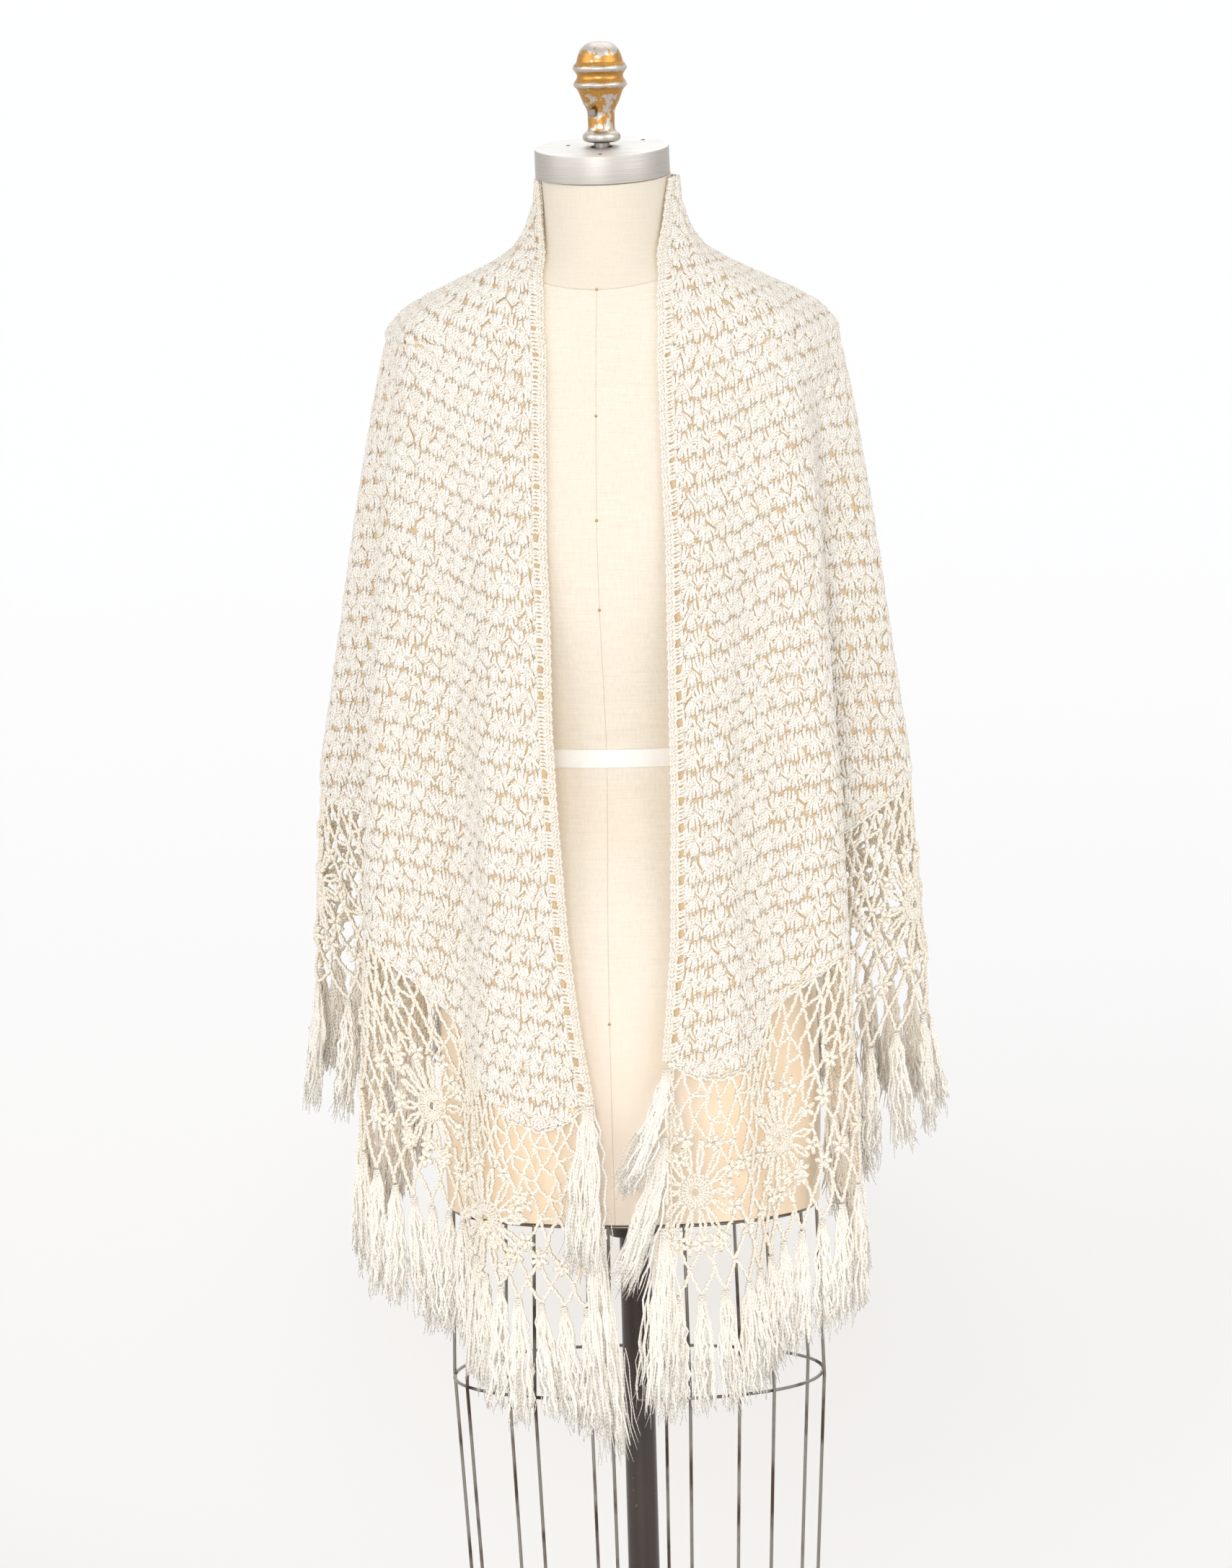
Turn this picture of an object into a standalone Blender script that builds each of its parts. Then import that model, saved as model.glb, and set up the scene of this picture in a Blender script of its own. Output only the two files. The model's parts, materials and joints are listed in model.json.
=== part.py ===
"""A crocheted lace shawl with a tasselled hem, worn by a dress form on its stand.

Metres, +Z up. The origin is on the floor under the pole. The form faces -Y, and +X is its left hand side.
"Left" and "right" below are as seen by someone who looks at the front of the form.
"""

import math

import bmesh
import bpy
import numpy as np
from mathutils import Matrix, Vector

# Gap between two pieces that touch on the real object
GAP = 0.0003

# Dress form, size 8: bust 0.89 m, waist 0.67 m, hip 0.94 m
FORM_SECTIONS = (
    # height, half width, front depth, back depth, squareness
    (1.4755, 0.0570, 0.0660, 0.0480, 2.00),
    (1.4500, 0.0560, 0.0655, 0.0485, 2.00),
    (1.4250, 0.0575, 0.0670, 0.0520, 2.00),
    (1.4060, 0.0650, 0.0710, 0.0600, 2.00),
    (1.3930, 0.0880, 0.0750, 0.0690, 2.10),
    (1.3800, 0.1180, 0.0800, 0.0770, 2.20),
    (1.3670, 0.1480, 0.0850, 0.0830, 2.30),
    (1.3540, 0.1730, 0.0890, 0.0880, 2.40),
    (1.3360, 0.1870, 0.0940, 0.0920, 2.50),
    (1.3050, 0.1900, 0.1000, 0.0970, 2.50),
    (1.2500, 0.1780, 0.1110, 0.1030, 2.45),
    (1.1700, 0.1580, 0.1220, 0.1000, 2.30),
    (1.1000, 0.1440, 0.1180, 0.0970, 2.25),
    (1.0300, 0.1280, 0.1040, 0.0910, 2.15),
    (0.9770, 0.1200, 0.0970, 0.0880, 2.10),
    (0.9610, 0.1200, 0.0970, 0.0880, 2.10),
    (0.9000, 0.1320, 0.1060, 0.0970, 2.10),
    (0.8300, 0.1540, 0.1190, 0.1130, 2.15),
    (0.7500, 0.1670, 0.1260, 0.1250, 2.20),
    (0.6500, 0.1690, 0.1270, 0.1270, 2.20),
    (0.5585, 0.1660, 0.1250, 0.1250, 2.20),
)
FORM_SIDES = 28
NECK_TILT = math.radians(5)
TAPE_TOP = 0.9770
TAPE_BOTTOM = 0.9610
TAPE_THICKNESS = 0.0008

# Neck cap, knob and its rod
CAP_RADIUS = 0.0592
CAP_HEIGHT = 0.0250
CAP_HOLE_RADIUS = 0.0098
CAP_CENTRE = (-0.0020, -0.0090)
NECK_ROD_RADIUS = 0.0070
KNOB_BOTTOM = 1.5035
KNOB_PROFILE = (
    # radius, height above the knob's foot
    (0.0152, 0.0012),
    (0.0167, 0.0040),
    (0.0158, 0.0075),
    (0.0122, 0.0110),
    (0.0118, 0.0190),
    (0.0124, 0.0280),
    (0.0158, 0.0350),
    (0.0188, 0.0430),
    (0.0206, 0.0468),
    (0.0237, 0.0502),
    (0.0222, 0.0538),
    (0.0205, 0.0566),
    (0.0206, 0.0600),
    (0.0239, 0.0646),
    (0.0226, 0.0682),
    (0.0206, 0.0706),
    (0.0197, 0.0740),
    (0.0168, 0.0815),
    (0.0108, 0.0868),
)
KNOB_HEIGHT = 0.0885
KNOB_SCREW_HEIGHT = 0.0270
KNOB_SCREW_TURN = math.radians(-22)

# Wire skirt: rings and uprights, then the pole and the foot
WIRE_RADIUS = 0.0015
WIRE_COUNT = 12
WIRE_TURN = math.radians(-3)
SKIRT_SECTIONS = (
    # height, half width, depth
    (0.5565, 0.1615, 0.1210),
    (0.4030, 0.1650, 0.1260),
    (0.1900, 0.1530, 0.1160),
)
SKIRT_SQUARENESS = 2.2
POLE_RADIUS = 0.0140
COLLAR_RADIUS = 0.0230
COLLAR_HEIGHT = 0.0300
COLLAR_CLEARANCE = 0.0006
FOOT_PROFILE = (
    # radius, height
    (0.2050, 0.0000),
    (0.2100, 0.0040),
    (0.2080, 0.0100),
    (0.1900, 0.0160),
    (0.0700, 0.0300),
    (0.0340, 0.0440),
    (0.0260, 0.0900),
    (0.0240, 0.1000),
)
FOOT_HEIGHT = 0.1000

# Shawl: the crocheted wall, how far it hangs from the pole's axis, and its folds
WALL = 0.0024
EASE = 0.0036
NECK_EDGE = 1.4720
HANG_SECTIONS = (
    # height, half width, front depth, back depth
    (1.3360, 0.1890, 0.0960, 0.0940),
    (1.2700, 0.1920, 0.1100, 0.1060),
    (1.1700, 0.1920, 0.1260, 0.1120),
    (1.0600, 0.1890, 0.1260, 0.1160),
    (0.9600, 0.1870, 0.1260, 0.1220),
    (0.8600, 0.1900, 0.1310, 0.1310),
    (0.7400, 0.1950, 0.1390, 0.1420),
    (0.6000, 0.1990, 0.1440, 0.1450),
    (0.4500, 0.2010, 0.1460, 0.1470),
)
HANG_SQUARENESS = 2.3
NECK_STAND = (
    # height, how far the cloth stands off the form
    (1.4720, 0.0010),
    (1.4500, 0.0030),
    (1.4250, 0.0100),
    (1.4060, 0.0150),
    (1.3930, 0.0130),
    (1.3800, 0.0090),
    (1.3540, 0.0030),
    (1.3200, 0.0000),
)
FOLDS_START = 1.400
FOLDS_FULL = 0.955
FOLDS_SPREAD = 0.30
FOLDS = {
    "left": (
        # angle from the front, offset from the hang at full depth
        (180, 0.000),
        (160, 0.020),
        (143, -0.010),
        (127, 0.034),
        (111, -0.012),
        (96, 0.088),
        (84, -0.014),
        (71, 0.045),
        (53, -0.007),
        (38, 0.005),
        (22, 0.000),
        (0, 0.000),
    ),
    "right": (
        (180, 0.000),
        (163, 0.016),
        (147, -0.010),
        (131, 0.030),
        (112, -0.014),
        (94, 0.066),
        (81, -0.012),
        (68, 0.030),
        (54, -0.006),
        (40, 0.004),
        (22, 0.000),
        (0, 0.000),
    ),
}
FRONT_EDGES = (
    # height, left angle, right angle
    (1.4720, 82.0, 80.0),
    (1.4300, 62.0, 62.0),
    (1.4050, 45.0, 47.0),
    (1.3750, 33.0, 36.5),
    (1.3250, 27.0, 32.0),
    (1.2600, 24.2, 30.0),
    (1.2000, 22.6, 29.0),
    (1.1000, 21.8, 28.6),
    (1.0000, 22.2, 28.4),
    (0.9400, 21.2, 28.2),
    (0.8130, 16.8, 26.0),
    (0.7300, 12.2, 22.5),
    (0.6700, 8.0, 20.0),
    (0.4600, 5.0, 17.5),
)
HEM = (
    # way from the centre back, left dense edge, left lace edge, right dense edge, right lace edge
    (0.000, 0.930, 0.755, 0.930, 0.755),
    (0.220, 0.942, 0.762, 0.944, 0.760),
    (0.380, 0.955, 0.776, 0.958, 0.764),
    (0.490, 0.960, 0.772, 0.978, 0.756),
    (0.565, 0.905, 0.716, 0.945, 0.722),
    (0.635, 0.845, 0.622, 0.875, 0.650),
    (0.690, 0.797, 0.576, 0.815, 0.594),
    (0.740, 0.745, 0.556, 0.785, 0.556),
    (0.790, 0.692, 0.520, 0.750, 0.533),
    (0.850, 0.656, 0.498, 0.697, 0.510),
    (0.900, 0.645, 0.492, 0.690, 0.503),
    (0.950, 0.652, 0.490, 0.693, 0.499),
    (1.000, 0.668, 0.490, 0.706, 0.500),
)
COLUMNS_PER_FOLD = 3
LOWER_ROWS = 6

# Edging of the neck and front edges
EDGING_WIDTH = 0.0070
EDGING_THICKNESS = 0.0034

# Lace border: rows of gaps, one in each repeat of the second row closed by a flower
LACE_WALL = 0.0022
LACE_REPEAT = 4
LACE_BAR = 0.30
LACE_SLANT = 0.22
LACE_SEAM = 0.0020
LACE_STRETCHES = (
    # name, first way, last way, rows of gaps
    ("lace_border_left", -1.0, -0.5, 3),
    ("lace_border_back", -0.5, 0.5, 2),
    ("lace_border_right", 0.5, 1.0, 3),
)

# Tassels: locks that leave a head on a narrow strip under the lace
STRIP_HEIGHT = 0.0040
STRIP_DEPTH = 0.0022
TASSEL_SPREAD = 0.0042
TASSEL_HEAD = ((0.0060, 1.60), (0.0180, 1.50))
CORNER_HEAD = ((0.0060, 1.00), (0.0180, 1.10))
TASSEL_LOCK = ((0.55, 1.0, 0.90), (0.45, 1.8, 0.80))
TASSEL_STRETCHES = (
    # name, first way, last way, columns to a tassel, drop below the hem, lean outward, length
    ("tassels_left_front", -1.00, -0.66, 1, 0.0017, 0.012, 0.110),
    ("tassels_left_side", -0.65, -0.33, 1, 0.0017, 0.014, 0.112),
    ("tassels_back", -0.32, 0.32, 2, 0.0008, 0.020, 0.112),
    ("tassels_right_side", 0.33, 0.65, 1, 0.0017, 0.014, 0.112),
    ("tassels_right_front", 0.66, 1.00, 1, 0.0017, 0.012, 0.104),
)
CORNER_TASSELS = (
    # name, side, height, sideways swing, lean, length
    ("corner_tassel_left", -1.0, 0.640, 0.020, 0.010, 0.135),
    ("corner_tassel_right", 1.0, 0.670, -0.020, 0.036, 0.130),
)

MATERIALS = {
    # name: colour, roughness, metallic
    "linen": ((0.80, 0.66, 0.47), 0.85, 0.0),
    "tape": ((0.90, 0.87, 0.80), 0.80, 0.0),
    "aluminium": ((0.72, 0.72, 0.72), 0.30, 1.0),
    "worn_gilt": ((0.62, 0.43, 0.18), 0.42, 0.8),
    "wire": ((0.42, 0.39, 0.36), 0.42, 0.9),
    "black_paint": ((0.035, 0.028, 0.025), 0.35, 0.2),
    "cast_iron": ((0.05, 0.048, 0.046), 0.60, 0.5),
    "crochet": ((0.90, 0.85, 0.74), 0.75, 0.0),
    "silk_tassel": ((0.93, 0.90, 0.83), 0.55, 0.0),
}


def start_scene():
    for obj in list(bpy.data.objects):
        bpy.data.objects.remove(obj)
    collection = bpy.data.collections.new("shawl_on_dress_form")
    bpy.context.scene.collection.children.link(collection)
    return collection


def make_material(name):
    colour, roughness, metallic = MATERIALS[name]
    material = bpy.data.materials.get(name)
    if material:
        return material
    material = bpy.data.materials.new(name)
    material.use_nodes = True
    shader = material.node_tree.nodes["Principled BSDF"]
    shader.inputs["Base Color"].default_value = (*colour, 1.0)
    shader.inputs["Roughness"].default_value = roughness
    shader.inputs["Metallic"].default_value = metallic
    return material


def add_object(name, bm, material, collection):
    """Turns a bmesh into a named object."""
    mesh = bpy.data.meshes.new(name)
    bm.to_mesh(mesh)
    bm.free()
    obj = bpy.data.objects.new(name, mesh)
    mesh.materials.append(make_material(material))
    collection.objects.link(obj)
    return obj


def add_turned(name, profile, material, collection, sides=32):
    """A profile of (radius, height) points, turned about Z. The profile starts and ends on the axis."""
    bm = bmesh.new()
    points = [bm.verts.new((radius, 0, height)) for radius, height in profile]
    for first, second in zip(points, points[1:]):
        bm.edges.new((first, second))
    bmesh.ops.spin(
        bm,
        geom=bm.verts[:] + bm.edges[:],
        cent=(0, 0, 0),
        axis=(0, 0, 1),
        angle=math.tau,
        steps=sides,
        use_merge=True,
    )
    bmesh.ops.remove_doubles(bm, verts=bm.verts, dist=1e-6)
    bmesh.ops.recalc_face_normals(bm, faces=bm.faces)
    obj = add_object(name, bm, material, collection)
    obj.data.shade_smooth()
    obj.data.set_sharp_from_angle(angle=math.radians(40))
    return obj


# Sections: how far a closed outline lies from the pole's axis


def at_height(table, height):
    """A row of a table, between the two rows next to a height. Heights fall down the table."""
    columns = np.array(table, dtype=float)
    heights = columns[::-1, 0]
    return [float(np.interp(height, heights, columns[::-1, k])) for k in range(1, columns.shape[1])]


def outline_radius(angle, half_width, front, back, squareness):
    """Radius of a rounded outline, at an angle measured from the front."""
    depth = front if math.cos(angle) > 0 else back
    across = abs(math.sin(angle)) / half_width
    along = abs(math.cos(angle)) / depth
    return (across**squareness + along**squareness) ** (-1.0 / squareness)


def form_radius(angle, height):
    return outline_radius(angle, *at_height(FORM_SECTIONS, height))


def fold_offset(side, angle, height):
    """How far a fold stands out of the plain hang, or sinks into it."""
    rows = FOLDS[side][::-1]
    degrees = math.degrees(angle)
    offset = rows[-1][1]
    for (low, low_offset), (high, high_offset) in zip(rows, rows[1:]):
        if low <= degrees <= high:
            share = (degrees - low) / (high - low)
            blend = 0.5 - 0.5 * math.cos(math.pi * share)
            offset = low_offset + (high_offset - low_offset) * blend
            break
    growth = min(1.0, max(0.0, (FOLDS_START - height) / (FOLDS_START - FOLDS_FULL)))
    growth += FOLDS_SPREAD * max(0.0, FOLDS_FULL - height)
    return offset * growth


def radius_on_form(angle, height):
    """Radius of the wall's middle where it lies on the form. The ease is measured square to a slope."""
    step = 0.004
    slope = (form_radius(angle, height - step) - form_radius(angle, height + step)) / (2 * step)
    stand, = at_height(NECK_STAND, height)
    side = min(1.0, max(0.0, (math.degrees(angle) - 35) / 30))
    return form_radius(angle, height) + EASE * math.sqrt(1 + slope * slope) + stand * side


def shawl_radius(side, angle, height):
    """Radius of the middle of the shawl's wall: on the form, or hanging clear of it in folds."""
    on_form = radius_on_form(angle, height)
    if height > HANG_SECTIONS[0][0]:
        hang = on_form
    else:
        hang = outline_radius(angle, *at_height(HANG_SECTIONS, height), HANG_SQUARENESS)
        hang = max(hang, on_form)
    return max(on_form, hang + fold_offset(side, angle, height))


def shawl_angle(way, height):
    """Angle from the front. The way is -1 at the left front edge, 0 at the centre back, 1 at the right."""
    left_edge, right_edge = at_height(FRONT_EDGES, height)
    edge = math.radians(left_edge if way < 0 else right_edge)
    return math.pi - abs(way) * (math.pi - edge)


def shawl_point(way, height):
    side = "left" if way < 0 else "right"
    angle = shawl_angle(way, height)
    radius = shawl_radius(side, angle, height)
    sign = -1.0 if way < 0 else 1.0
    return Vector((sign * radius * math.sin(angle), -radius * math.cos(angle), height))


def hem_heights(way):
    """Heights of the dense crochet's lower edge and of the lace's lower edge."""
    columns = np.array(HEM, dtype=float)
    row = [float(np.interp(abs(way), columns[:, 0], columns[:, k])) for k in range(1, 5)]
    return (row[0], row[1]) if way < 0 else (row[2], row[3])


def outward(way, height):
    """Unit normal of the shawl, pointing away from the form."""
    step = 0.004
    along = shawl_point(min(1.0, way + step), height) - shawl_point(max(-1.0, way - step), height)
    down = shawl_point(way, height - step) - shawl_point(way, height + step)
    return along.cross(down).normalized()


# Dress form


def ring_points(height, radius_at, sides, turn=0.0):
    """Points of a closed outline at one height, from the front round by the right."""
    points = []
    for k in range(sides):
        angle = math.tau * k / sides + turn
        radius = radius_at(math.acos(max(-1.0, min(1.0, math.cos(angle)))))
        points.append(Vector((radius * math.sin(angle), -radius * math.cos(angle), height)))
    return points


def loft(bm, rings):
    """Closed solid through rings of equal counts. Returns its side faces, a list for each step along it."""
    loops = [[bm.verts.new(point) for point in ring] for ring in rings]
    count = len(loops[0])
    sides = []
    for low, high in zip(loops, loops[1:]):
        corners = [(k, (k + 1) % count) for k in range(count)]
        sides.append([bm.faces.new((low[k], low[after], high[after], high[k])) for k, after in corners])
    bm.faces.new(loops[0][::-1])
    bm.faces.new(loops[-1])
    bmesh.ops.recalc_face_normals(bm, faces=bm.faces)
    return sides


def form_ring(height, out=0.0):
    ring = ring_points(height, lambda angle: form_radius(angle, height) + out, FORM_SIDES)
    if height == FORM_SECTIONS[0][0]:
        for point in ring:
            point.z += point.y * math.tan(NECK_TILT)
    return ring


def make_form(collection):
    bm = bmesh.new()
    loft(bm, [form_ring(row[0]) for row in FORM_SECTIONS[::-1]])
    torso = add_object("form_torso", bm, "linen", collection)
    torso.data.shade_smooth()
    torso.data.set_sharp_from_angle(angle=math.radians(50))


def make_tape(collection):
    """Woven tape round the waist, made from the form's own rings, moved out."""
    bm = bmesh.new()
    inner, outer = GAP, GAP + TAPE_THICKNESS
    corners = ((TAPE_BOTTOM, inner), (TAPE_TOP, inner), (TAPE_TOP, outer), (TAPE_BOTTOM, outer))
    loops = [[bm.verts.new(point) for point in form_ring(*corner)] for corner in corners]
    for first, second in zip(loops, loops[1:] + loops[:1]):
        for k in range(FORM_SIDES):
            after = (k + 1) % FORM_SIDES
            bm.faces.new((first[k], first[after], second[after], second[k]))
    bmesh.ops.recalc_face_normals(bm, faces=bm.faces)
    add_object("waist_tape", bm, "tape", collection)


def make_neck_fittings(collection):
    top = FORM_SECTIONS[0][0]
    tilt = Matrix.Rotation(NECK_TILT, 4, "X")
    seat = Vector((CAP_CENTRE[0], CAP_CENTRE[1], top + CAP_CENTRE[1] * math.tan(NECK_TILT) + GAP))
    rim = 0.0014
    cap_profile = (
        (CAP_HOLE_RADIUS, 0.0),
        (CAP_RADIUS, 0.0),
        (CAP_RADIUS, CAP_HEIGHT - rim),
        (CAP_RADIUS - rim, CAP_HEIGHT),
        (CAP_HOLE_RADIUS, CAP_HEIGHT),
        (CAP_HOLE_RADIUS, 0.0),
    )
    cap = add_turned("neck_cap", cap_profile, "aluminium", collection, 32)
    cap.data.transform(Matrix.Translation(seat) @ tilt)

    rod_profile = (
        (0.0, GAP),
        (NECK_ROD_RADIUS, GAP),
        (NECK_ROD_RADIUS, KNOB_BOTTOM - seat.z - GAP),
        (0.0, KNOB_BOTTOM - seat.z - GAP),
    )
    rod = add_turned("neck_rod", rod_profile, "wire", collection, 16)
    rod.data.transform(Matrix.Translation((seat.x, seat.y, seat.z + GAP)))

    knob_profile = ((0.0, 0.0), (0.0120, 0.0), *KNOB_PROFILE, (0.0, KNOB_HEIGHT))
    knob = add_turned("neck_knob", knob_profile, "worn_gilt", collection, 16)
    knob.data.transform(Matrix.Translation((seat.x, seat.y, KNOB_BOTTOM + GAP)))
    make_knob_screw(collection, seat)


def make_knob_screw(collection, seat):
    """Square-headed set screw that holds the knob on its rod, in front, at the knob's waist."""
    head, reach = 0.0066, 0.0036
    waist = 0.0136
    bm = bmesh.new()
    bmesh.ops.create_cube(bm, size=1.0)
    bmesh.ops.scale(bm, vec=(head, reach, head), verts=bm.verts)
    bmesh.ops.translate(bm, vec=(0, -waist - reach / 2 - GAP, 0), verts=bm.verts)
    edges = bm.edges[:]
    bmesh.ops.bevel(bm, geom=edges, offset=0.0007, segments=1, profile=0.5, affect="EDGES", material=-1)
    bmesh.ops.rotate(bm, cent=(0, 0, 0), matrix=Matrix.Rotation(KNOB_SCREW_TURN, 3, "Z"), verts=bm.verts)
    place = (seat.x, seat.y, KNOB_BOTTOM + KNOB_SCREW_HEIGHT)
    bmesh.ops.translate(bm, vec=place, verts=bm.verts)
    add_object("knob_screw", bm, "wire", collection)


# Stand


def skirt_radius(angle, height, out=0.0):
    half_width, depth = at_height(SKIRT_SECTIONS, height)
    return outline_radius(angle, half_width, depth, depth, SKIRT_SQUARENESS) + out


def add_wire(name, points, collection, closed=False):
    curve = bpy.data.curves.new(name, "CURVE")
    curve.dimensions = "3D"
    curve.bevel_depth = WIRE_RADIUS
    curve.bevel_resolution = 1
    curve.use_fill_caps = True
    spline = curve.splines.new("POLY")
    spline.points.add(len(points) - 1)
    for target, point in zip(spline.points, points):
        target.co = (*point, 1.0)
    spline.use_cyclic_u = closed
    curve.materials.append(make_material("wire"))
    obj = bpy.data.objects.new(name, curve)
    collection.objects.link(obj)
    return obj


def make_skirt(collection):
    """Rings and upright wires that carry a skirt's hang below the form."""
    for name, (height, _, _) in zip(("rim_ring", "middle_ring", "bottom_ring"), SKIRT_SECTIONS):
        ring = ring_points(height, lambda angle: skirt_radius(angle, height), 2 * WIRE_COUNT, WIRE_TURN)
        add_wire(name, ring, collection, closed=True)
    clear = 2 * WIRE_RADIUS + GAP
    top = FORM_SECTIONS[-1][0] - GAP
    low = SKIRT_SECTIONS[-1][0] - WIRE_RADIUS
    heights = np.linspace(top, low, 5)
    heights[1:3] = (SKIRT_SECTIONS[1][0] + 0.06, SKIRT_SECTIONS[1][0])
    for k in range(WIRE_COUNT):
        angle = math.tau * k / WIRE_COUNT + WIRE_TURN
        around = math.acos(math.cos(angle))
        points = []
        for height in heights:
            inside = min(height, SKIRT_SECTIONS[0][0])
            radius = skirt_radius(around, max(inside, SKIRT_SECTIONS[-1][0]), clear)
            points.append((radius * math.sin(angle), -radius * math.cos(angle), float(height)))
        add_wire(f"upright_wire_{k + 1:02d}", points, collection)


def make_stand(collection):
    under = FORM_SECTIONS[-1][0]
    foot_profile = ((0.0, 0.0), *FOOT_PROFILE, (0.0, FOOT_HEIGHT))
    add_turned("foot", foot_profile, "cast_iron", collection, 28)
    pole_low = FOOT_HEIGHT + GAP
    pole_profile = ((0.0, pole_low), (POLE_RADIUS, pole_low), (POLE_RADIUS, under - GAP), (0.0, under - GAP))
    add_turned("pole", pole_profile, "black_paint", collection, 16)
    bore = POLE_RADIUS + COLLAR_CLEARANCE
    low, high = under - COLLAR_HEIGHT, under - GAP
    collar_profile = ((bore, low), (COLLAR_RADIUS, low), (COLLAR_RADIUS, high), (bore, high), (bore, low))
    add_turned("pole_collar", collar_profile, "black_paint", collection, 20)


# Shawl


def fold_ways():
    """Ways round the shawl with a column at the crest and the hollow of each fold, and some between."""
    ways = []
    height = HANG_SECTIONS[4][0]
    left_edge, right_edge = at_height(FRONT_EDGES, height)
    for side, edge, sign in (("left", left_edge, -1.0), ("right", right_edge, 1.0)):
        marks = [row[0] for row in FOLDS[side] if row[0] > edge + 4] + [edge]
        for first, second in zip(marks, marks[1:]):
            parts = COLUMNS_PER_FOLD if first - second < 20 else COLUMNS_PER_FOLD + 1
            for angle in np.linspace(first, second, parts, endpoint=False):
                ways.append(sign * (180 - angle) / (180 - edge))
        ways.append(sign)
    for seam in (-0.5, 0.5):
        nearest = min(range(len(ways)), key=lambda k: abs(ways[k] - seam))
        ways[nearest] = seam
    return sorted(set(round(way, 6) for way in ways))


def grid_sheet(bm, ways, heights_at):
    """Open sheet with a column of points at each way. heights_at gives a column's heights."""
    columns = [[bm.verts.new(shawl_point(way, z)) for z in heights_at(way)] for way in ways]
    for first, second in zip(columns, columns[1:]):
        for k in range(len(first) - 1):
            bm.faces.new((first[k], first[k + 1], second[k + 1], second[k]))
    bmesh.ops.recalc_face_normals(bm, faces=bm.faces)
    return columns


def thicken(obj, thickness):
    wall = obj.modifiers.new("wall", "SOLIDIFY")
    wall.thickness = thickness
    wall.offset = 0.0
    wall.use_even_offset = False
    obj.data.shade_smooth()


def body_heights(way):
    """The heights of the form's own rings over the neck and shoulders, then even ones."""
    upper = [NECK_EDGE] + [row[0] for row in FORM_SECTIONS[1:10]]
    dense_edge, _ = hem_heights(way)
    lower = np.linspace(upper[-1], dense_edge, LOWER_ROWS + 1)[1:]
    return upper + [float(z) for z in lower]


def make_body(collection):
    """The dense shell-stitch cloth: one piece from front edge to front edge."""
    bm = bmesh.new()
    grid_sheet(bm, fold_ways(), body_heights)
    thicken(add_object("shawl_body", bm, "crochet", collection), WALL)


def make_edging(collection):
    """Narrow crocheted edging along each front edge, just outside the cloth's own edge."""
    for name, way in (("front_edging_left", -1.0), ("front_edging_right", 1.0)):
        bm = bmesh.new()
        rings = []
        for height in body_heights(way):
            point = shawl_point(way, height)
            out = outward(way, height)
            aside = (point - shawl_point(way * 0.985, height)).normalized()
            near = point + aside * GAP * 3
            far = near + aside * EDGING_WIDTH
            around = math.atan2(abs(far.x), -far.y)
            clear = radius_on_form(around, height)
            far_radius = math.hypot(far.x, far.y)
            if far_radius < clear:
                far.x *= clear / far_radius
                far.y *= clear / far_radius
            lift = out * EDGING_THICKNESS
            sink = out * (-WALL / 2)
            rings.append((near + sink, far + sink, far + sink + lift, near + sink + lift))
        loft(bm, rings)
        add_object(name, bm, "crochet", collection)


def even_ways(first, last, count, share):
    """Ways evenly spaced along the lace, at a share of the way from its upper to its lower edge."""
    ways = np.linspace(first, last, 400)
    points = []
    for way in ways:
        dense_edge, lace_edge = hem_heights(way)
        points.append(shawl_point(way, dense_edge + (lace_edge - dense_edge) * share))
    steps = [0.0] + [(b - a).length for a, b in zip(points, points[1:])]
    along = np.cumsum(steps)
    return [float(way) for way in np.interp(np.linspace(0, along[-1], count), along, ways)]


def dense_edge_point(way, ways):
    """Point on the body's lower edge, which runs straight from column to column."""
    ends = []
    after = min(max(1, int(np.searchsorted(ways, way))), len(ways) - 1)
    for column in (ways[after - 1], ways[after]):
        ends.append(shawl_point(column, hem_heights(column)[0]))
    share = (way - ways[after - 1]) / (ways[after] - ways[after - 1])
    return ends[0].lerp(ends[1], share)


def lace_point(way, ways, share, rows):
    """Point on the border, from the body's lower edge at share 0 to the hem at share 1."""
    top = dense_edge_point(way, ways)
    height = top.z - LACE_SEAM + (hem_heights(way)[1] - top.z + LACE_SEAM) * share
    point = shawl_point(way, height)
    near_top = max(0.0, 1 - share * (rows + LACE_BAR) / LACE_BAR)
    flat = Vector((top.x, top.y, height))
    return point.lerp(flat, near_top)


def bars_between(ways, first, last):
    """Left mark, right mark and slant of the bar of lace that hangs from each of the body's columns."""
    inside = [way for way in ways if first - 1e-6 <= way <= last + 1e-6]
    bars = []
    for k, way in enumerate(inside):
        before = inside[max(0, k - 1)]
        after = inside[min(len(inside) - 1, k + 1)]
        half = (after - before) * LACE_BAR / 4
        slant = (after - before) * LACE_SLANT / 4
        if k == 0:
            bars.append((way + 0.0009, way + 2 * half, 0.0))
        elif k == len(inside) - 1:
            bars.append((way - 2 * half, way - 0.0009, 0.0))
        else:
            bars.append((way - half, way + half, slant))
    return bars


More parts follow.
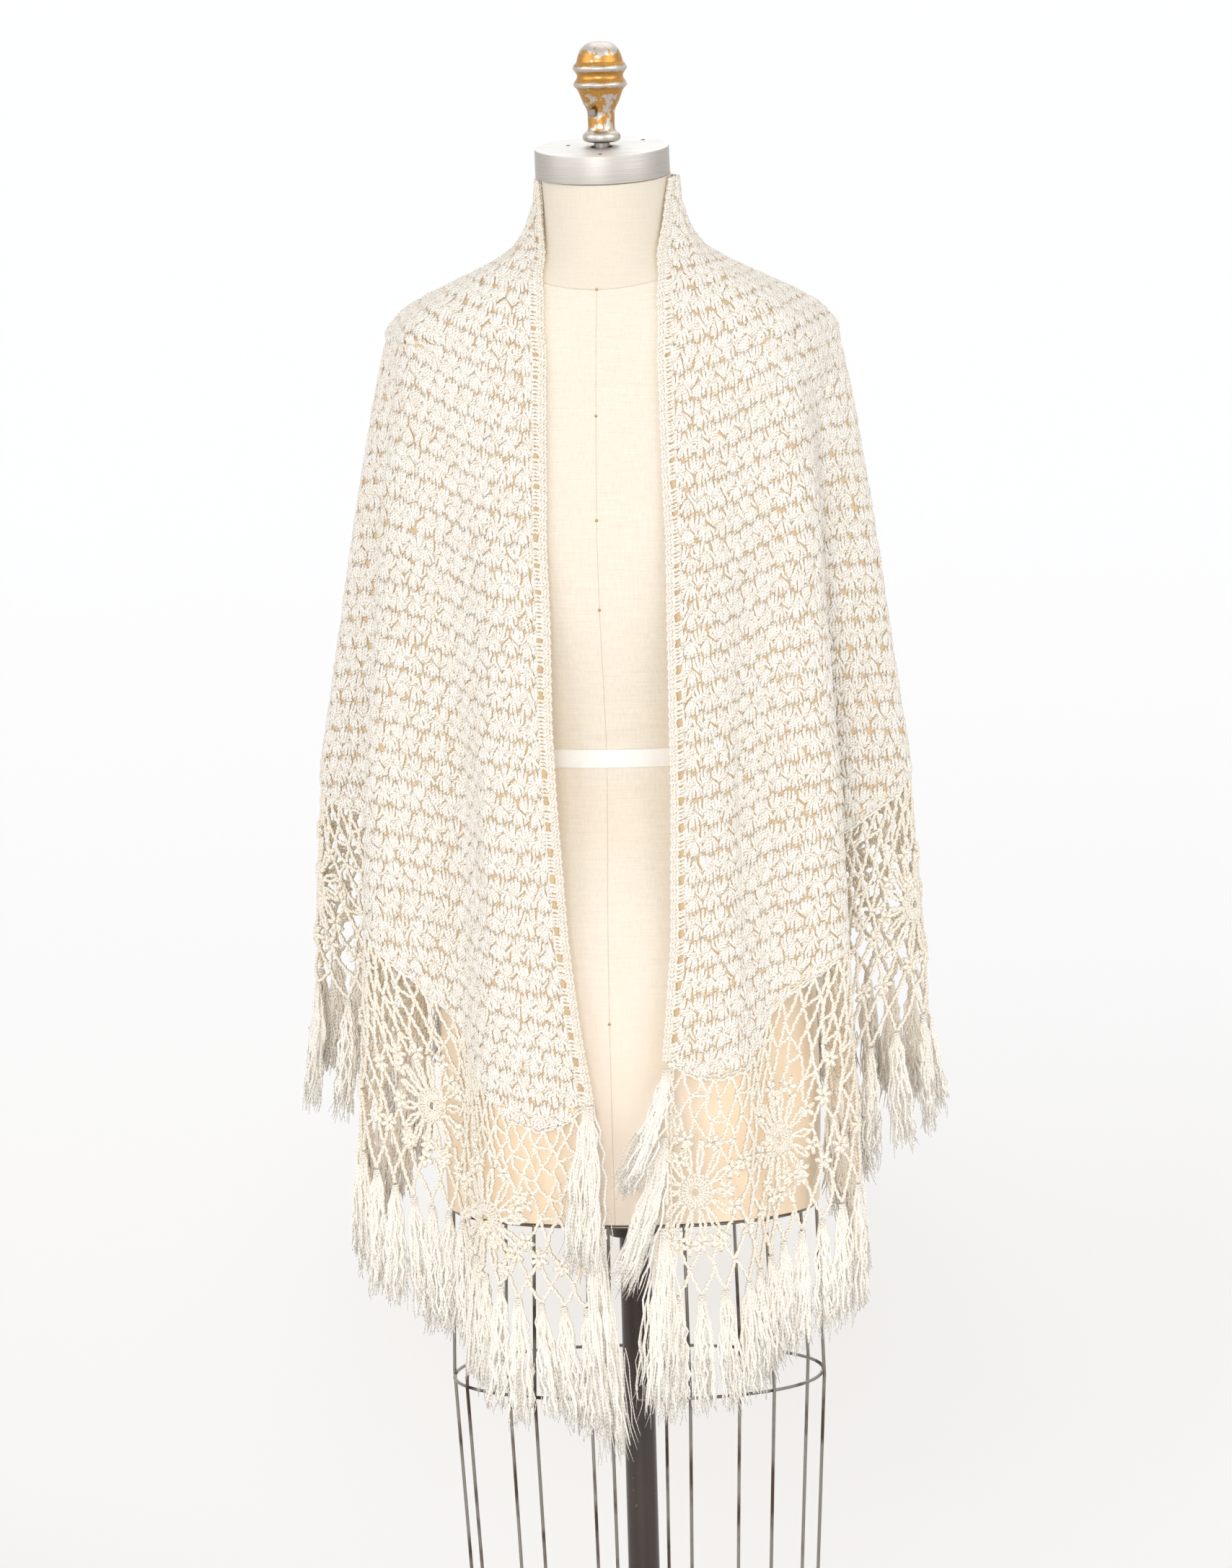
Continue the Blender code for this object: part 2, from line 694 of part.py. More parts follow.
def make_lace(collection):
    """The border: a wall with its largest gaps cut through, one between each pair of the body's columns."""
    ways = fold_ways()
    for name, first, last, rows in LACE_STRETCHES:
        marks = []
        for left, right, slant in bars_between(ways, first, last):
            marks += [(left, slant), (right, slant)]
        bm = bmesh.new()
        columns = []
        for way, slant in marks:
            column = []
            for row in range(2 * rows + 2):
                pair, second = divmod(row, 2)
                share = (pair + (LACE_BAR if second else 0.0)) / (rows + LACE_BAR)
                at = way + slant * (0 if row == 0 else 1 if pair % 2 else -1)
                column.append(bm.verts.new(lace_point(at, ways, share, rows)))
            columns.append(column)
        for k, (near, far) in enumerate(zip(columns, columns[1:])):
            for row in range(len(near) - 1):
                gap = k % 2 == 1 and row % 2 == 1
                flower = row // 2 == 1 and (k // 2) % LACE_REPEAT == 1
                if not gap or flower:
                    bm.faces.new((near[row], near[row + 1], far[row + 1], far[row]))
        bmesh.ops.recalc_face_normals(bm, faces=bm.faces)
        thicken(add_object(name, bm, "crochet", collection), LACE_WALL)


# Tassels


def grow_tassel(bm, face, head, length, swing):
    """Grows a knotted head and four locks down from a face on the underside of a strip."""
    for drop, wide in head:
        face = bmesh.ops.extrude_discrete_faces(bm, faces=[face])["faces"][0]
        bmesh.ops.translate(bm, vec=(0, 0, -drop), verts=face.verts)
        centre = face.calc_center_median()
        bmesh.ops.scale(bm, vec=(wide, wide, 1), space=Matrix.Translation(-centre), verts=face.verts)
    poked = bmesh.ops.poke(bm, faces=[face])
    middle = poked["verts"][0].co.copy()
    locks = poked["faces"]
    left_over = length - sum(drop for drop, _ in head)
    for drop, spread, wide in TASSEL_LOCK:
        locks = bmesh.ops.extrude_discrete_faces(bm, faces=locks)["faces"]
        for lock in locks:
            centre = lock.calc_center_median()
            sideways = Vector((centre.x - middle.x, centre.y - middle.y, 0))
            sideways.normalize()
            move = sideways * TASSEL_SPREAD * spread * 0.5 + swing * drop
            move.z = -drop * left_over
            bmesh.ops.scale(bm, vec=(wide, wide, 1), space=Matrix.Translation(-centre), verts=lock.verts)
            bmesh.ops.translate(bm, vec=move, verts=lock.verts)


def make_tassels(collection):
    """Each strip runs under the lace's own hem, mark for mark, with its tassels under the bars."""
    ways = fold_ways()
    bars = []
    for name, first, last, rows in LACE_STRETCHES:
        turn = 1 if rows % 2 else -1
        for left, right, slant in bars_between(ways, first, last):
            bars.append((left + slant * turn, right + slant * turn))
    for name, first, last, step, drop, out, length in TASSEL_STRETCHES:
        marks = [mark for bar in bars if first <= bar[0] and bar[1] <= last for mark in bar]
        bm = bmesh.new()
        rings = []
        for way in marks:
            point = shawl_point(way, hem_heights(way)[1])
            point.z -= drop
            flat_out = outward(way, point.z)
            flat_out.z = 0
            deep = flat_out.normalized() * STRIP_DEPTH / 2
            down = Vector((0, 0, -STRIP_HEIGHT))
            rings.append((point - deep, point + deep, point + deep + down, point - deep + down))
        undersides = [side[2] for side in loft(bm, rings)]
        for k, face in enumerate(undersides[:: 2 * step]):
            middle = face.calc_center_median()
            lean = Vector((middle.x, middle.y, 0)).normalized() * out
            grow_tassel(bm, face, TASSEL_HEAD, length * (1 + 0.05 * math.sin(2.4 * k)), lean)
        bmesh.ops.recalc_face_normals(bm, faces=bm.faces)
        add_object(name, bm, "silk_tassel", collection)


def make_corner_tassels(collection):
    """Long tassels beside the two front edges, just below the corners of the dense cloth."""
    size = 0.0050
    for name, way, height, swing, lean, length in CORNER_TASSELS:
        point = shawl_point(way, height)
        aside = (point - shawl_point(way * 0.985, height)).normalized()
        out = outward(way, height)
        out.z = 0
        centre = point + aside * (size / 2 + GAP * 3) + out.normalized() * 0.0008
        turn = Matrix.Rotation(math.atan2(aside.y, aside.x), 4, "Z")
        bm = bmesh.new()
        bmesh.ops.create_cube(bm, size=size, matrix=Matrix.Translation(centre) @ turn)
        under = min(bm.faces, key=lambda face: face.calc_center_median().z)
        grow_tassel(bm, under, CORNER_HEAD, length, out.normalized() * lean + Vector((swing, 0, 0)))
        bmesh.ops.recalc_face_normals(bm, faces=bm.faces)
        add_object(name, bm, "silk_tassel", collection)


def main():
    collection = start_scene()
    make_form(collection)
    make_tape(collection)
    make_neck_fittings(collection)
    make_skirt(collection)
    make_stand(collection)
    make_body(collection)
    make_edging(collection)
    make_lace(collection)
    make_tassels(collection)
    make_corner_tassels(collection)


main()
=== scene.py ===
"""A crocheted lace shawl with a tasselled hem, worn by a dress form on its stand.

Metres, +Z up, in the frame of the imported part. The form faces -Y. "Left" and "right" are as seen
by someone who looks at the front of the form. The sections follow the object as it is put together.
"""

import json
import math

import bmesh
import bpy
import numpy as np
from mathutils import Matrix, Vector

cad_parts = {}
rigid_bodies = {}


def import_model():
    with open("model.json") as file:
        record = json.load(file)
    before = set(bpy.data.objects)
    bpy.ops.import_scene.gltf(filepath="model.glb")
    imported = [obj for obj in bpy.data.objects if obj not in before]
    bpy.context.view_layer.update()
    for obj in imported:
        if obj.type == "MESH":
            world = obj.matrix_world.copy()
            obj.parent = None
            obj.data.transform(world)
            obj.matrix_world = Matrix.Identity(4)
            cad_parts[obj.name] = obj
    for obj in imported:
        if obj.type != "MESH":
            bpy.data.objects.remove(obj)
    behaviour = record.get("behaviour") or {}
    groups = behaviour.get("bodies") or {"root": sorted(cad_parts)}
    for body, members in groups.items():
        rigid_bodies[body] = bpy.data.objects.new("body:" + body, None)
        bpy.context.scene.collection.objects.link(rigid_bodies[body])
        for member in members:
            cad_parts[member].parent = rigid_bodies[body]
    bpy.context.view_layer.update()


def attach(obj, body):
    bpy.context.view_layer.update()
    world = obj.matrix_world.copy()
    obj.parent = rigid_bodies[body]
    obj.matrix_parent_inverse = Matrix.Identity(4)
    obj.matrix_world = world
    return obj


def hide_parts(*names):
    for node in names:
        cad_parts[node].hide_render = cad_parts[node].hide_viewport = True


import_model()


# Camera
# A long lens in front of the form, a little to its right and above its middle, turned very slightly.

camera_turn, camera_rise, camera_roll = math.radians(8.0), math.radians(7.4), math.radians(-1.56)
aim = Vector((0.0, 0.0, 0.934)) - 0.0061 * Vector((math.cos(camera_turn), math.sin(camera_turn), 0.0))
stand_off = Vector((math.sin(camera_turn) * math.cos(camera_rise), -math.cos(camera_turn) * math.cos(camera_rise),
                    math.sin(camera_rise)))
camera_data = bpy.data.cameras.new("camera")
camera_data.lens = 207
camera_data.sensor_fit = "VERTICAL"
camera_data.sensor_width = 36
camera_data.sensor_height = 36
camera_data.clip_end = 400
camera = bpy.data.objects.new("camera", camera_data)
bpy.context.scene.collection.objects.link(camera)
facing = (-stand_off).to_track_quat("-Z", "Y").to_matrix().to_4x4()
camera.matrix_world = Matrix.Translation(aim + 8.0 * stand_off) @ facing @ Matrix.Rotation(camera_roll, 4, "Z")
bpy.context.scene.camera = camera


# Torso of the dress form
# Papier-mache covered in pale linen, with a seam round the foot of the neck and one down the centre
# front. The linen is a tight plain weave, a little browner over the neck where it is handled.

FORM_SECTIONS = (
    # height, half width, front depth, back depth, squareness
    (1.4755, 0.0570, 0.0660, 0.0480, 2.00),
    (1.4500, 0.0560, 0.0655, 0.0485, 2.00),
    (1.4250, 0.0575, 0.0670, 0.0520, 2.00),
    (1.4060, 0.0650, 0.0710, 0.0600, 2.00),
    (1.3930, 0.0880, 0.0750, 0.0690, 2.10),
    (1.3800, 0.1180, 0.0800, 0.0770, 2.20),
    (1.3670, 0.1480, 0.0850, 0.0830, 2.30),
    (1.3540, 0.1730, 0.0890, 0.0880, 2.40),
    (1.3360, 0.1870, 0.0940, 0.0920, 2.50),
    (1.3050, 0.1900, 0.1000, 0.0970, 2.50),
    (1.2500, 0.1780, 0.1110, 0.1030, 2.45),
    (1.1700, 0.1580, 0.1220, 0.1000, 2.30),
    (1.1000, 0.1440, 0.1180, 0.0970, 2.25),
    (1.0300, 0.1280, 0.1040, 0.0910, 2.15),
    (0.9770, 0.1200, 0.0970, 0.0880, 2.10),
    (0.9610, 0.1200, 0.0970, 0.0880, 2.10),
    (0.9000, 0.1320, 0.1060, 0.0970, 2.10),
    (0.8300, 0.1540, 0.1190, 0.1130, 2.15),
    (0.7500, 0.1670, 0.1260, 0.1250, 2.20),
    (0.6500, 0.1690, 0.1270, 0.1270, 2.20),
    (0.5585, 0.1660, 0.1250, 0.1250, 2.20),
)
NECK_TILT = math.radians(5)


def rounded_table(table, spread):
    """Function that gives a table's columns at any heights, with the corners between its rows rounded off."""
    rows = np.array(table, dtype=float)[::-1]
    step = 0.001
    reach = int(4 * spread / step)
    grid = np.arange(rows[0, 0] - reach * step, rows[-1, 0] + (reach + 0.5) * step, step)
    offsets = np.arange(-reach, reach + 1) * step
    weights = np.exp(-0.5 * (offsets / spread) ** 2)
    weights /= weights.sum()
    columns = []
    for k in range(1, rows.shape[1]):
        values = np.interp(grid, rows[:, 0], rows[:, k])
        low_slope = (rows[1, k] - rows[0, k]) / (rows[1, 0] - rows[0, 0])
        high_slope = (rows[-1, k] - rows[-2, k]) / (rows[-1, 0] - rows[-2, 0])
        values += np.minimum(grid - rows[0, 0], 0) * low_slope + np.maximum(grid - rows[-1, 0], 0) * high_slope
        columns.append(np.convolve(values, weights, "same"))
    return lambda heights: [np.interp(heights, grid, column) for column in columns]


form_rows = rounded_table(FORM_SECTIONS, 0.006)


def outline_radius(angle, half_width, front, back, squareness):
    """Radius of a rounded outline, at an angle measured from the front."""
    depth = np.where(np.cos(angle) > 0, front, back)
    across = np.abs(np.sin(angle)) / half_width
    along = np.abs(np.cos(angle)) / depth
    return (across**squareness + along**squareness) ** (-1.0 / squareness)


def form_radius(angle, height):
    return outline_radius(angle, *form_rows(height))


def place_ring(verts, height, out=0.0, tilt=0.0):
    """Sets a ring of vertices on the form's outline at one height. Each keeps its own direction from the axis."""
    angles = np.array([math.atan2(vert.co.x, -vert.co.y) for vert in verts])
    radii = form_radius(angles, np.full(len(angles), height)) + out
    for vert, angle, radius in zip(verts, angles, radii):
        x, y = radius * math.sin(angle), -radius * math.cos(angle)
        vert.co = (x, y, height + y * tilt)


def grow_ring(bm, edges):
    """Extrudes a ring of edges and gives the new ring's edges and vertices."""
    grown = bmesh.ops.extrude_edge_only(bm, edges=edges)["geom"]
    new_edges = [part for part in grown if isinstance(part, bmesh.types.BMEdge)]
    new_verts = [part for part in grown if isinstance(part, bmesh.types.BMVert)]
    ring = [edge for edge in new_edges if all(vert in set(new_verts) for vert in edge.verts)]
    return ring, new_verts


def add_piece(name, bm, material, body, replaced=()):
    """Makes a smooth object of a bmesh, riding a body and standing for its CAD nodes."""
    mesh = bpy.data.meshes.new(name)
    bm.to_mesh(mesh)
    bm.free()
    mesh.shade_smooth()
    mesh.materials.append(material)
    piece = bpy.data.objects.new(name, mesh)
    bpy.context.scene.collection.objects.link(piece)
    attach(piece, body)
    if replaced:
        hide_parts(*replaced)
    return piece


def srgb(red, green, blue):
    """A colour as seen on a screen, from 0 to 255, made linear."""
    shares = (red / 255, green / 255, blue / 255)
    return (*[s / 12.92 if s < 0.04045 else ((s + 0.055) / 1.055) ** 2.4 for s in shares], 1.0)


def add_node(material, kind, **values):
    """Adds a shader node. Names set its properties, and names with a capital set its inputs."""
    node = material.node_tree.nodes.new(kind)
    for name, value in values.items():
        if name[0].isupper():
            node.inputs[name.replace("_", " ")].default_value = value
        else:
            setattr(node, name, value)
    return node


def start_material(name, roughness, metallic=0.0, specular=0.5):
    material = bpy.data.materials.new(name)
    material.use_nodes = True
    shader = material.node_tree.nodes["Principled BSDF"]
    shader.inputs["Roughness"].default_value = roughness
    shader.inputs["Metallic"].default_value = metallic
    shader.inputs["Specular IOR Level"].default_value = specular
    return material, shader


def join(material, start, end):
    material.node_tree.links.new(start, end)


def math_node(material, operation, first, second=None, third=None, clamp=False):
    """Adds a Math node. Each operand is a number or an output."""
    node = add_node(material, "ShaderNodeMath", operation=operation, use_clamp=clamp)
    for socket, operand in zip(node.inputs, (first, second, third)):
        if operand is None:
            continue
        if isinstance(operand, (int, float)):
            socket.default_value = operand
        else:
            join(material, operand, socket)
    return node.outputs[0]


def mix_colours(material, share, first, second, blend="MIX"):
    """Mixes two colours, each a value or an output, by a share, a number or an output."""
    node = add_node(material, "ShaderNodeMix", data_type="RGBA", blend_type=blend)
    for socket, value in ((node.inputs[0], share), (node.inputs[6], first), (node.inputs[7], second)):
        if isinstance(value, bpy.types.NodeSocket):
            join(material, value, socket)
        else:
            socket.default_value = value
    return node.outputs[2]


def make_grain():
    """Group: blotches and fine grain of a surface, in its own space."""
    group = bpy.data.node_groups.new("grain", "ShaderNodeTree")
    group.interface.new_socket("Place", in_out="INPUT", socket_type="NodeSocketVector")
    for name, value in (("Blotches", 12.0), ("Grain", 400.0)):
        socket = group.interface.new_socket(name, in_out="INPUT", socket_type="NodeSocketFloat")
        socket.default_value = value
    group.interface.new_socket("Blotch", in_out="OUTPUT", socket_type="NodeSocketFloat")
    group.interface.new_socket("Fine", in_out="OUTPUT", socket_type="NodeSocketFloat")
    entry = group.nodes.new("NodeGroupInput")
    leave = group.nodes.new("NodeGroupOutput")
    for source, detail, target in (("Blotches", 3.0, "Blotch"), ("Grain", 2.0, "Fine")):
        noise = group.nodes.new("ShaderNodeTexNoise")
        noise.inputs["Detail"].default_value = detail
        group.links.new(entry.outputs["Place"], noise.inputs["Vector"])
        group.links.new(entry.outputs[source], noise.inputs["Scale"])
        group.links.new(noise.outputs["Fac"], leave.inputs[target])
    return group


grain_group = make_grain()


def add_grain(material, blotches, grain, stretch=(1.0, 1.0, 1.0)):
    """Places the grain group on Object coordinates, and gives its two masks."""
    place = add_node(material, "ShaderNodeTexCoord").outputs["Object"]
    mapping = add_node(material, "ShaderNodeMapping")
    mapping.inputs["Scale"].default_value = stretch
    join(material, place, mapping.inputs["Vector"])
    node = add_node(material, "ShaderNodeGroup", node_tree=grain_group)
    join(material, mapping.outputs["Vector"], node.inputs["Place"])
    node.inputs["Blotches"].default_value = blotches
    node.inputs["Grain"].default_value = grain
    return node.outputs["Blotch"], node.outputs["Fine"]


def add_bump(material, shader, height, distance, strength=1.0):
    bump = add_node(material, "ShaderNodeBump", Strength=strength, Distance=distance)
    join(material, height, bump.inputs["Height"])
    join(material, bump.outputs["Normal"], shader.inputs["Normal"])


def make_weave():
    """Group: plain weave with threads along and across. Place holds metres across and up."""
    group = bpy.data.node_groups.new("plain_weave", "ShaderNodeTree")
    group.interface.new_socket("Across", in_out="INPUT", socket_type="NodeSocketFloat")
    group.interface.new_socket("Up", in_out="INPUT", socket_type="NodeSocketFloat")
    threads = group.interface.new_socket("Threads", in_out="INPUT", socket_type="NodeSocketFloat")
    threads.default_value = 1500.0
    group.interface.new_socket("Height", in_out="OUTPUT", socket_type="NodeSocketFloat")
    entry = group.nodes.new("NodeGroupInput")
    leave = group.nodes.new("NodeGroupOutput")

    def step(operation, first, second=None):
        node = group.nodes.new("ShaderNodeMath")
        node.operation = operation
        for socket, operand in zip(node.inputs, (first, second)):
            if isinstance(operand, (int, float)):
                socket.default_value = operand
            elif operand is not None:
                group.links.new(operand, socket)
        return node.outputs[0]

    waves = []
    for name in ("Across", "Up"):
        turns = step("MULTIPLY", step("MULTIPLY", entry.outputs[name], entry.outputs["Threads"]), math.pi)
        waves.append(step("SINE", turns))
    product = step("MULTIPLY", waves[0], waves[1])
    group.links.new(step("ADD", step("MULTIPLY", product, 0.5), 0.5), leave.inputs["Height"])
    return group


weave_group = make_weave()


def make_linen():
    material, shader = start_material("linen", 0.86, specular=0.2)
    place = add_node(material, "ShaderNodeTexCoord").outputs["Object"]
    parts = add_node(material, "ShaderNodeSeparateXYZ")
    join(material, place, parts.inputs[0])
    x, y, z = parts.outputs
    angle = math_node(material, "ARCTAN2", x, math_node(material, "MULTIPLY", y, -1.0))
    around = math_node(material, "MULTIPLY", angle, 0.15)
    weave = add_node(material, "ShaderNodeGroup", node_tree=weave_group)
    weave.inputs["Threads"].default_value = 1250.0
    join(material, around, weave.inputs["Across"])
    join(material, z, weave.inputs["Up"])

    blotch, fine = add_grain(material, 7.0, 900.0)
    _, slubs_up = add_grain(material, 7.0, 1.0, (900.0, 900.0, 60.0))
    _, slubs_across = add_grain(material, 7.0, 1.0, (45.0, 45.0, 1100.0))
    slubs = math_node(material, "ADD", slubs_up, slubs_across)
    slubs = math_node(material, "MULTIPLY", math_node(material, "SUBTRACT", slubs, 0.75), 1.6, clamp=True)

    # Neck seam, which dips at the front, and the centre seam below it
    rise = math_node(material, "MULTIPLY_ADD", math_node(material, "COSINE", angle), -0.034, 1.4135)
    above = math_node(material, "SUBTRACT", z, rise)
    neck = math_node(material, "MULTIPLY_ADD", above, 900.0, 0.5, clamp=True)
    neck_seam = math_node(material, "SUBTRACT", 1.0, math_node(material, "MULTIPLY", math_node(
        material, "ABSOLUTE", above), 1500.0), clamp=True)
    front_seam = math_node(material, "SUBTRACT", 1.0, math_node(material, "MULTIPLY", math_node(
        material, "ABSOLUTE", around), 1700.0), clamp=True)
    front_seam = math_node(material, "MULTIPLY", front_seam, math_node(material, "SUBTRACT", 1.0, neck))
    seams = math_node(material, "MAXIMUM", neck_seam, front_seam)

    # Paler low down, and painted light behind the lace: a brighter cream where the lace hangs in front of the linen and
    # would shade it
    low = math_node(material, "MULTIPLY_ADD", z, -4.0, 3.44, clamp=True)
    sideways = math_node(material, "ABSOLUTE", math_node(material, "SUBTRACT", x, 0.018))
    painted_light_behind_lace = math_node(material, "MULTIPLY_ADD", sideways, 28.0, -1.15, clamp=True)
    painted_light_behind_lace = math_node(material, "MULTIPLY", painted_light_behind_lace, math_node(material, "MULTIPLY_ADD", z, -14.0, 10.9, clamp=True))
    painted_light_behind_lace = math_node(material, "MULTIPLY", painted_light_behind_lace, math_node(material, "MULTIPLY_ADD", y, -30.0, 0.2, clamp=True))
    cloth = mix_colours(material, slubs, srgb(227, 218, 203), srgb(217, 205, 188))
    cloth = mix_colours(material, low, cloth, srgb(234, 221, 205))
    cloth = mix_colours(material, painted_light_behind_lace, cloth, srgb(252, 233, 207))
    aged = mix_colours(material, math_node(material, "MULTIPLY", neck, 0.5), cloth, srgb(212, 202, 184))
    stained = mix_colours(material, math_node(material, "MULTIPLY", math_node(
        material, "SUBTRACT", blotch, 0.52), 1.4, clamp=True), aged, srgb(222, 202, 174))
    seamed = mix_colours(material, math_node(material, "MULTIPLY", seams, 0.45), stained, srgb(186, 158, 124))
    join(material, seamed, shader.inputs["Base Color"])
    rough = math_node(material, "MULTIPLY_ADD", fine, 0.12, 0.78)
    join(material, rough, shader.inputs["Roughness"])
    height = math_node(material, "MULTIPLY_ADD", weave.outputs["Height"], 0.35, slubs)
    height = math_node(material, "MULTIPLY_ADD", seams, -2.6, height)
    add_bump(material, shader, height, 0.00012, 0.8)
    return material


linen = make_linen()
torso_bm = bmesh.new()
bmesh.ops.create_circle(torso_bm, cap_ends=False, radius=1.0, segments=96)
ring = torso_bm.edges[:]
top_height = FORM_SECTIONS[0][0]
place_ring(torso_bm.verts[:], top_height, -0.0016, math.tan(NECK_TILT))
first_ring = ring
torso_heights = np.concatenate((
    [top_height - 0.0006],
    np.linspace(1.4700, 1.4100, 9),
    np.linspace(1.4050, 1.3360, 22),
    np.linspace(1.3280, 0.5610, 62),
    [0.5592],
))
for height in torso_heights:
    ring, verts = grow_ring(torso_bm, ring)
    lean = math.tan(NECK_TILT) * min(1.0, max(0.0, (height - 1.435) / 0.040))
    place_ring(verts, float(height), 0.0, lean)
ring, verts = grow_ring(torso_bm, ring)
place_ring(verts, 0.5585, -0.0012)
for end in (first_ring, ring):
    bmesh.ops.contextual_create(torso_bm, geom=end)
bmesh.ops.recalc_face_normals(torso_bm, faces=torso_bm.faces)
torso = add_piece("torso", torso_bm, linen, "form", ["form_torso"])
torso.data.set_sharp_from_angle(angle=math.radians(50))


# Pins down the centre front
# Small brass pin heads pushed in where the seam was basted: at the neck seam, bust, ribs and hip.

PIN_HEIGHTS = (1.3795, 1.2713, 1.1811, 1.1025, 0.7380)
pin_brass, pin_shader = start_material("pin_brass", 0.35, 1.0)
_, pin_fine = add_grain(pin_brass, 60.0, 3000.0)
join(pin_brass, mix_colours(pin_brass, pin_fine, srgb(196, 172, 122), srgb(120, 98, 64)), pin_shader.inputs["Base Color"])
pins_bm = bmesh.new()
for height in PIN_HEIGHTS:
    front = float(form_radius(np.array([0.0]), np.array([height]))[0])
    bmesh.ops.create_uvsphere(pins_bm, u_segments=12, v_segments=6, radius=0.0013, matrix=Matrix.Translation((
        0.0, -front - 0.0001, height)) @ Matrix.Diagonal((1.0, 0.5, 1.0, 1.0)))
pins = add_piece("centre_pins", pins_bm, pin_brass, "form")


# Waist tape
# White twill tape, 16 mm wide, pinned flat round the narrowest part of the waist.

TAPE_TOP, TAPE_BOTTOM = 0.9770, 0.9610
tape_white, tape_shader = start_material("tape", 0.8, specular=0.25)
_, tape_fine = add_grain(tape_white, 30.0, 1.0, (260.0, 260.0, 2600.0))
join(tape_white, mix_colours(tape_white, tape_fine, srgb(246, 245, 241), srgb(226, 222, 214)),
     tape_shader.inputs["Base Color"])
add_bump(tape_white, tape_shader, tape_fine, 0.0003, 0.6)
tape_bm = bmesh.new()
bmesh.ops.create_circle(tape_bm, cap_ends=False, radius=1.0, segments=96)
ring = first_ring = tape_bm.edges[:]
place_ring(tape_bm.verts[:], TAPE_BOTTOM, 0.0003)
for height, out in ((TAPE_BOTTOM, 0.0009), (TAPE_BOTTOM + 0.0006, 0.0011), (TAPE_TOP - 0.0006, 0.0011),
                    (TAPE_TOP, 0.0009), (TAPE_TOP, 0.0003)):
    ring, verts = grow_ring(tape_bm, ring)
    place_ring(verts, height, out)
bmesh.ops.bridge_loops(tape_bm, edges=[*first_ring, *ring])
bmesh.ops.recalc_face_normals(tape_bm, faces=tape_bm.faces)
tape = add_piece("tape_band", tape_bm, tape_white, "form", ["waist_tape"])


# Neck cap
# A turned aluminium disc, brushed round its edge, that closes the neck. Two small screws hold it.

CAP_RADIUS, CAP_HEIGHT, CAP_HOLE_RADIUS = 0.0592, 0.0250, 0.0098
CAP_CENTRE = (-0.0020, -0.0090)
cap_seat = Vector((*CAP_CENTRE, FORM_SECTIONS[0][0] + CAP_CENTRE[1] * math.tan(NECK_TILT) + 0.0003))


def turn_profile(profile, steps):
    """Solid of revolution about Z through (radius, height) points, closed to the axis or to itself."""
    bm = bmesh.new()
    points = [bm.verts.new((radius, 0.0, height)) for radius, height in profile]
    edges = [bm.edges.new(pair) for pair in zip(points, points[1:])]
    bmesh.ops.spin(bm, geom=[*points, *edges], cent=(0, 0, 0), axis=(0, 0, 1), angle=math.tau, steps=steps,
                   use_merge=True)
    bmesh.ops.remove_doubles(bm, verts=bm.verts, dist=0.00001)
    bmesh.ops.recalc_face_normals(bm, faces=bm.faces)
    return bm


def make_aluminium():
    material, shader = start_material("aluminium", 0.34, 1.0)
    blotch, _ = add_grain(material, 40.0, 500.0)
    _, brushed = add_grain(material, 30.0, 1.0, (25.0, 25.0, 2600.0))
    _, scratches = add_grain(material, 30.0, 1.0, (700.0, 60.0, 700.0))
    tone = mix_colours(material, brushed, srgb(222, 220, 217), srgb(190, 188, 185))
    worn = mix_colours(material, math_node(material, "MULTIPLY", math_node(
        material, "SUBTRACT", blotch, 0.54), 4.0, clamp=True), tone, srgb(204, 201, 197))
    # Painted shade: the upright side of the disc is darker than its top, for how the light falls on it. The brushed
    # streaks and worn spots are the metal's own.
    parts = add_node(material, "ShaderNodeSeparateXYZ")
    join(material, add_node(material, "ShaderNodeNewGeometry").outputs["Normal"], parts.inputs[0])
    lit_top_share = math_node(material, "MULTIPLY_ADD", parts.outputs[2], 4.0, -2.4, clamp=True)
    rim = mix_colours(material, brushed, srgb(196, 191, 185), srgb(158, 153, 147))
    join(material, mix_colours(material, lit_top_share, rim, worn), shader.inputs["Base Color"])
    join(material, math_node(material, "MULTIPLY_ADD", scratches, 0.20, 0.42), shader.inputs["Roughness"])
    add_bump(material, shader, brushed, 0.00004, 0.6)
    return material


aluminium = make_aluminium()
cap_bm = turn_profile((
    (CAP_HOLE_RADIUS, 0.0), (CAP_RADIUS - 0.0005, 0.0), (CAP_RADIUS, 0.0005), (CAP_RADIUS, CAP_HEIGHT - 0.0014),
    (CAP_RADIUS - 0.0004, CAP_HEIGHT - 0.0004), (CAP_RADIUS - 0.0014, CAP_HEIGHT),
    (CAP_HOLE_RADIUS + 0.0004, CAP_HEIGHT), (CAP_HOLE_RADIUS, CAP_HEIGHT - 0.0004), (CAP_HOLE_RADIUS, 0.0)), 128)
cap_place = Matrix.Translation(cap_seat) @ Matrix.Rotation(NECK_TILT, 4, "X")
cap_bm.transform(cap_place)
cap = add_piece("cap_disc", cap_bm, aluminium, "form", ["neck_cap"])
cap.data.set_sharp_from_angle(angle=math.radians(32))

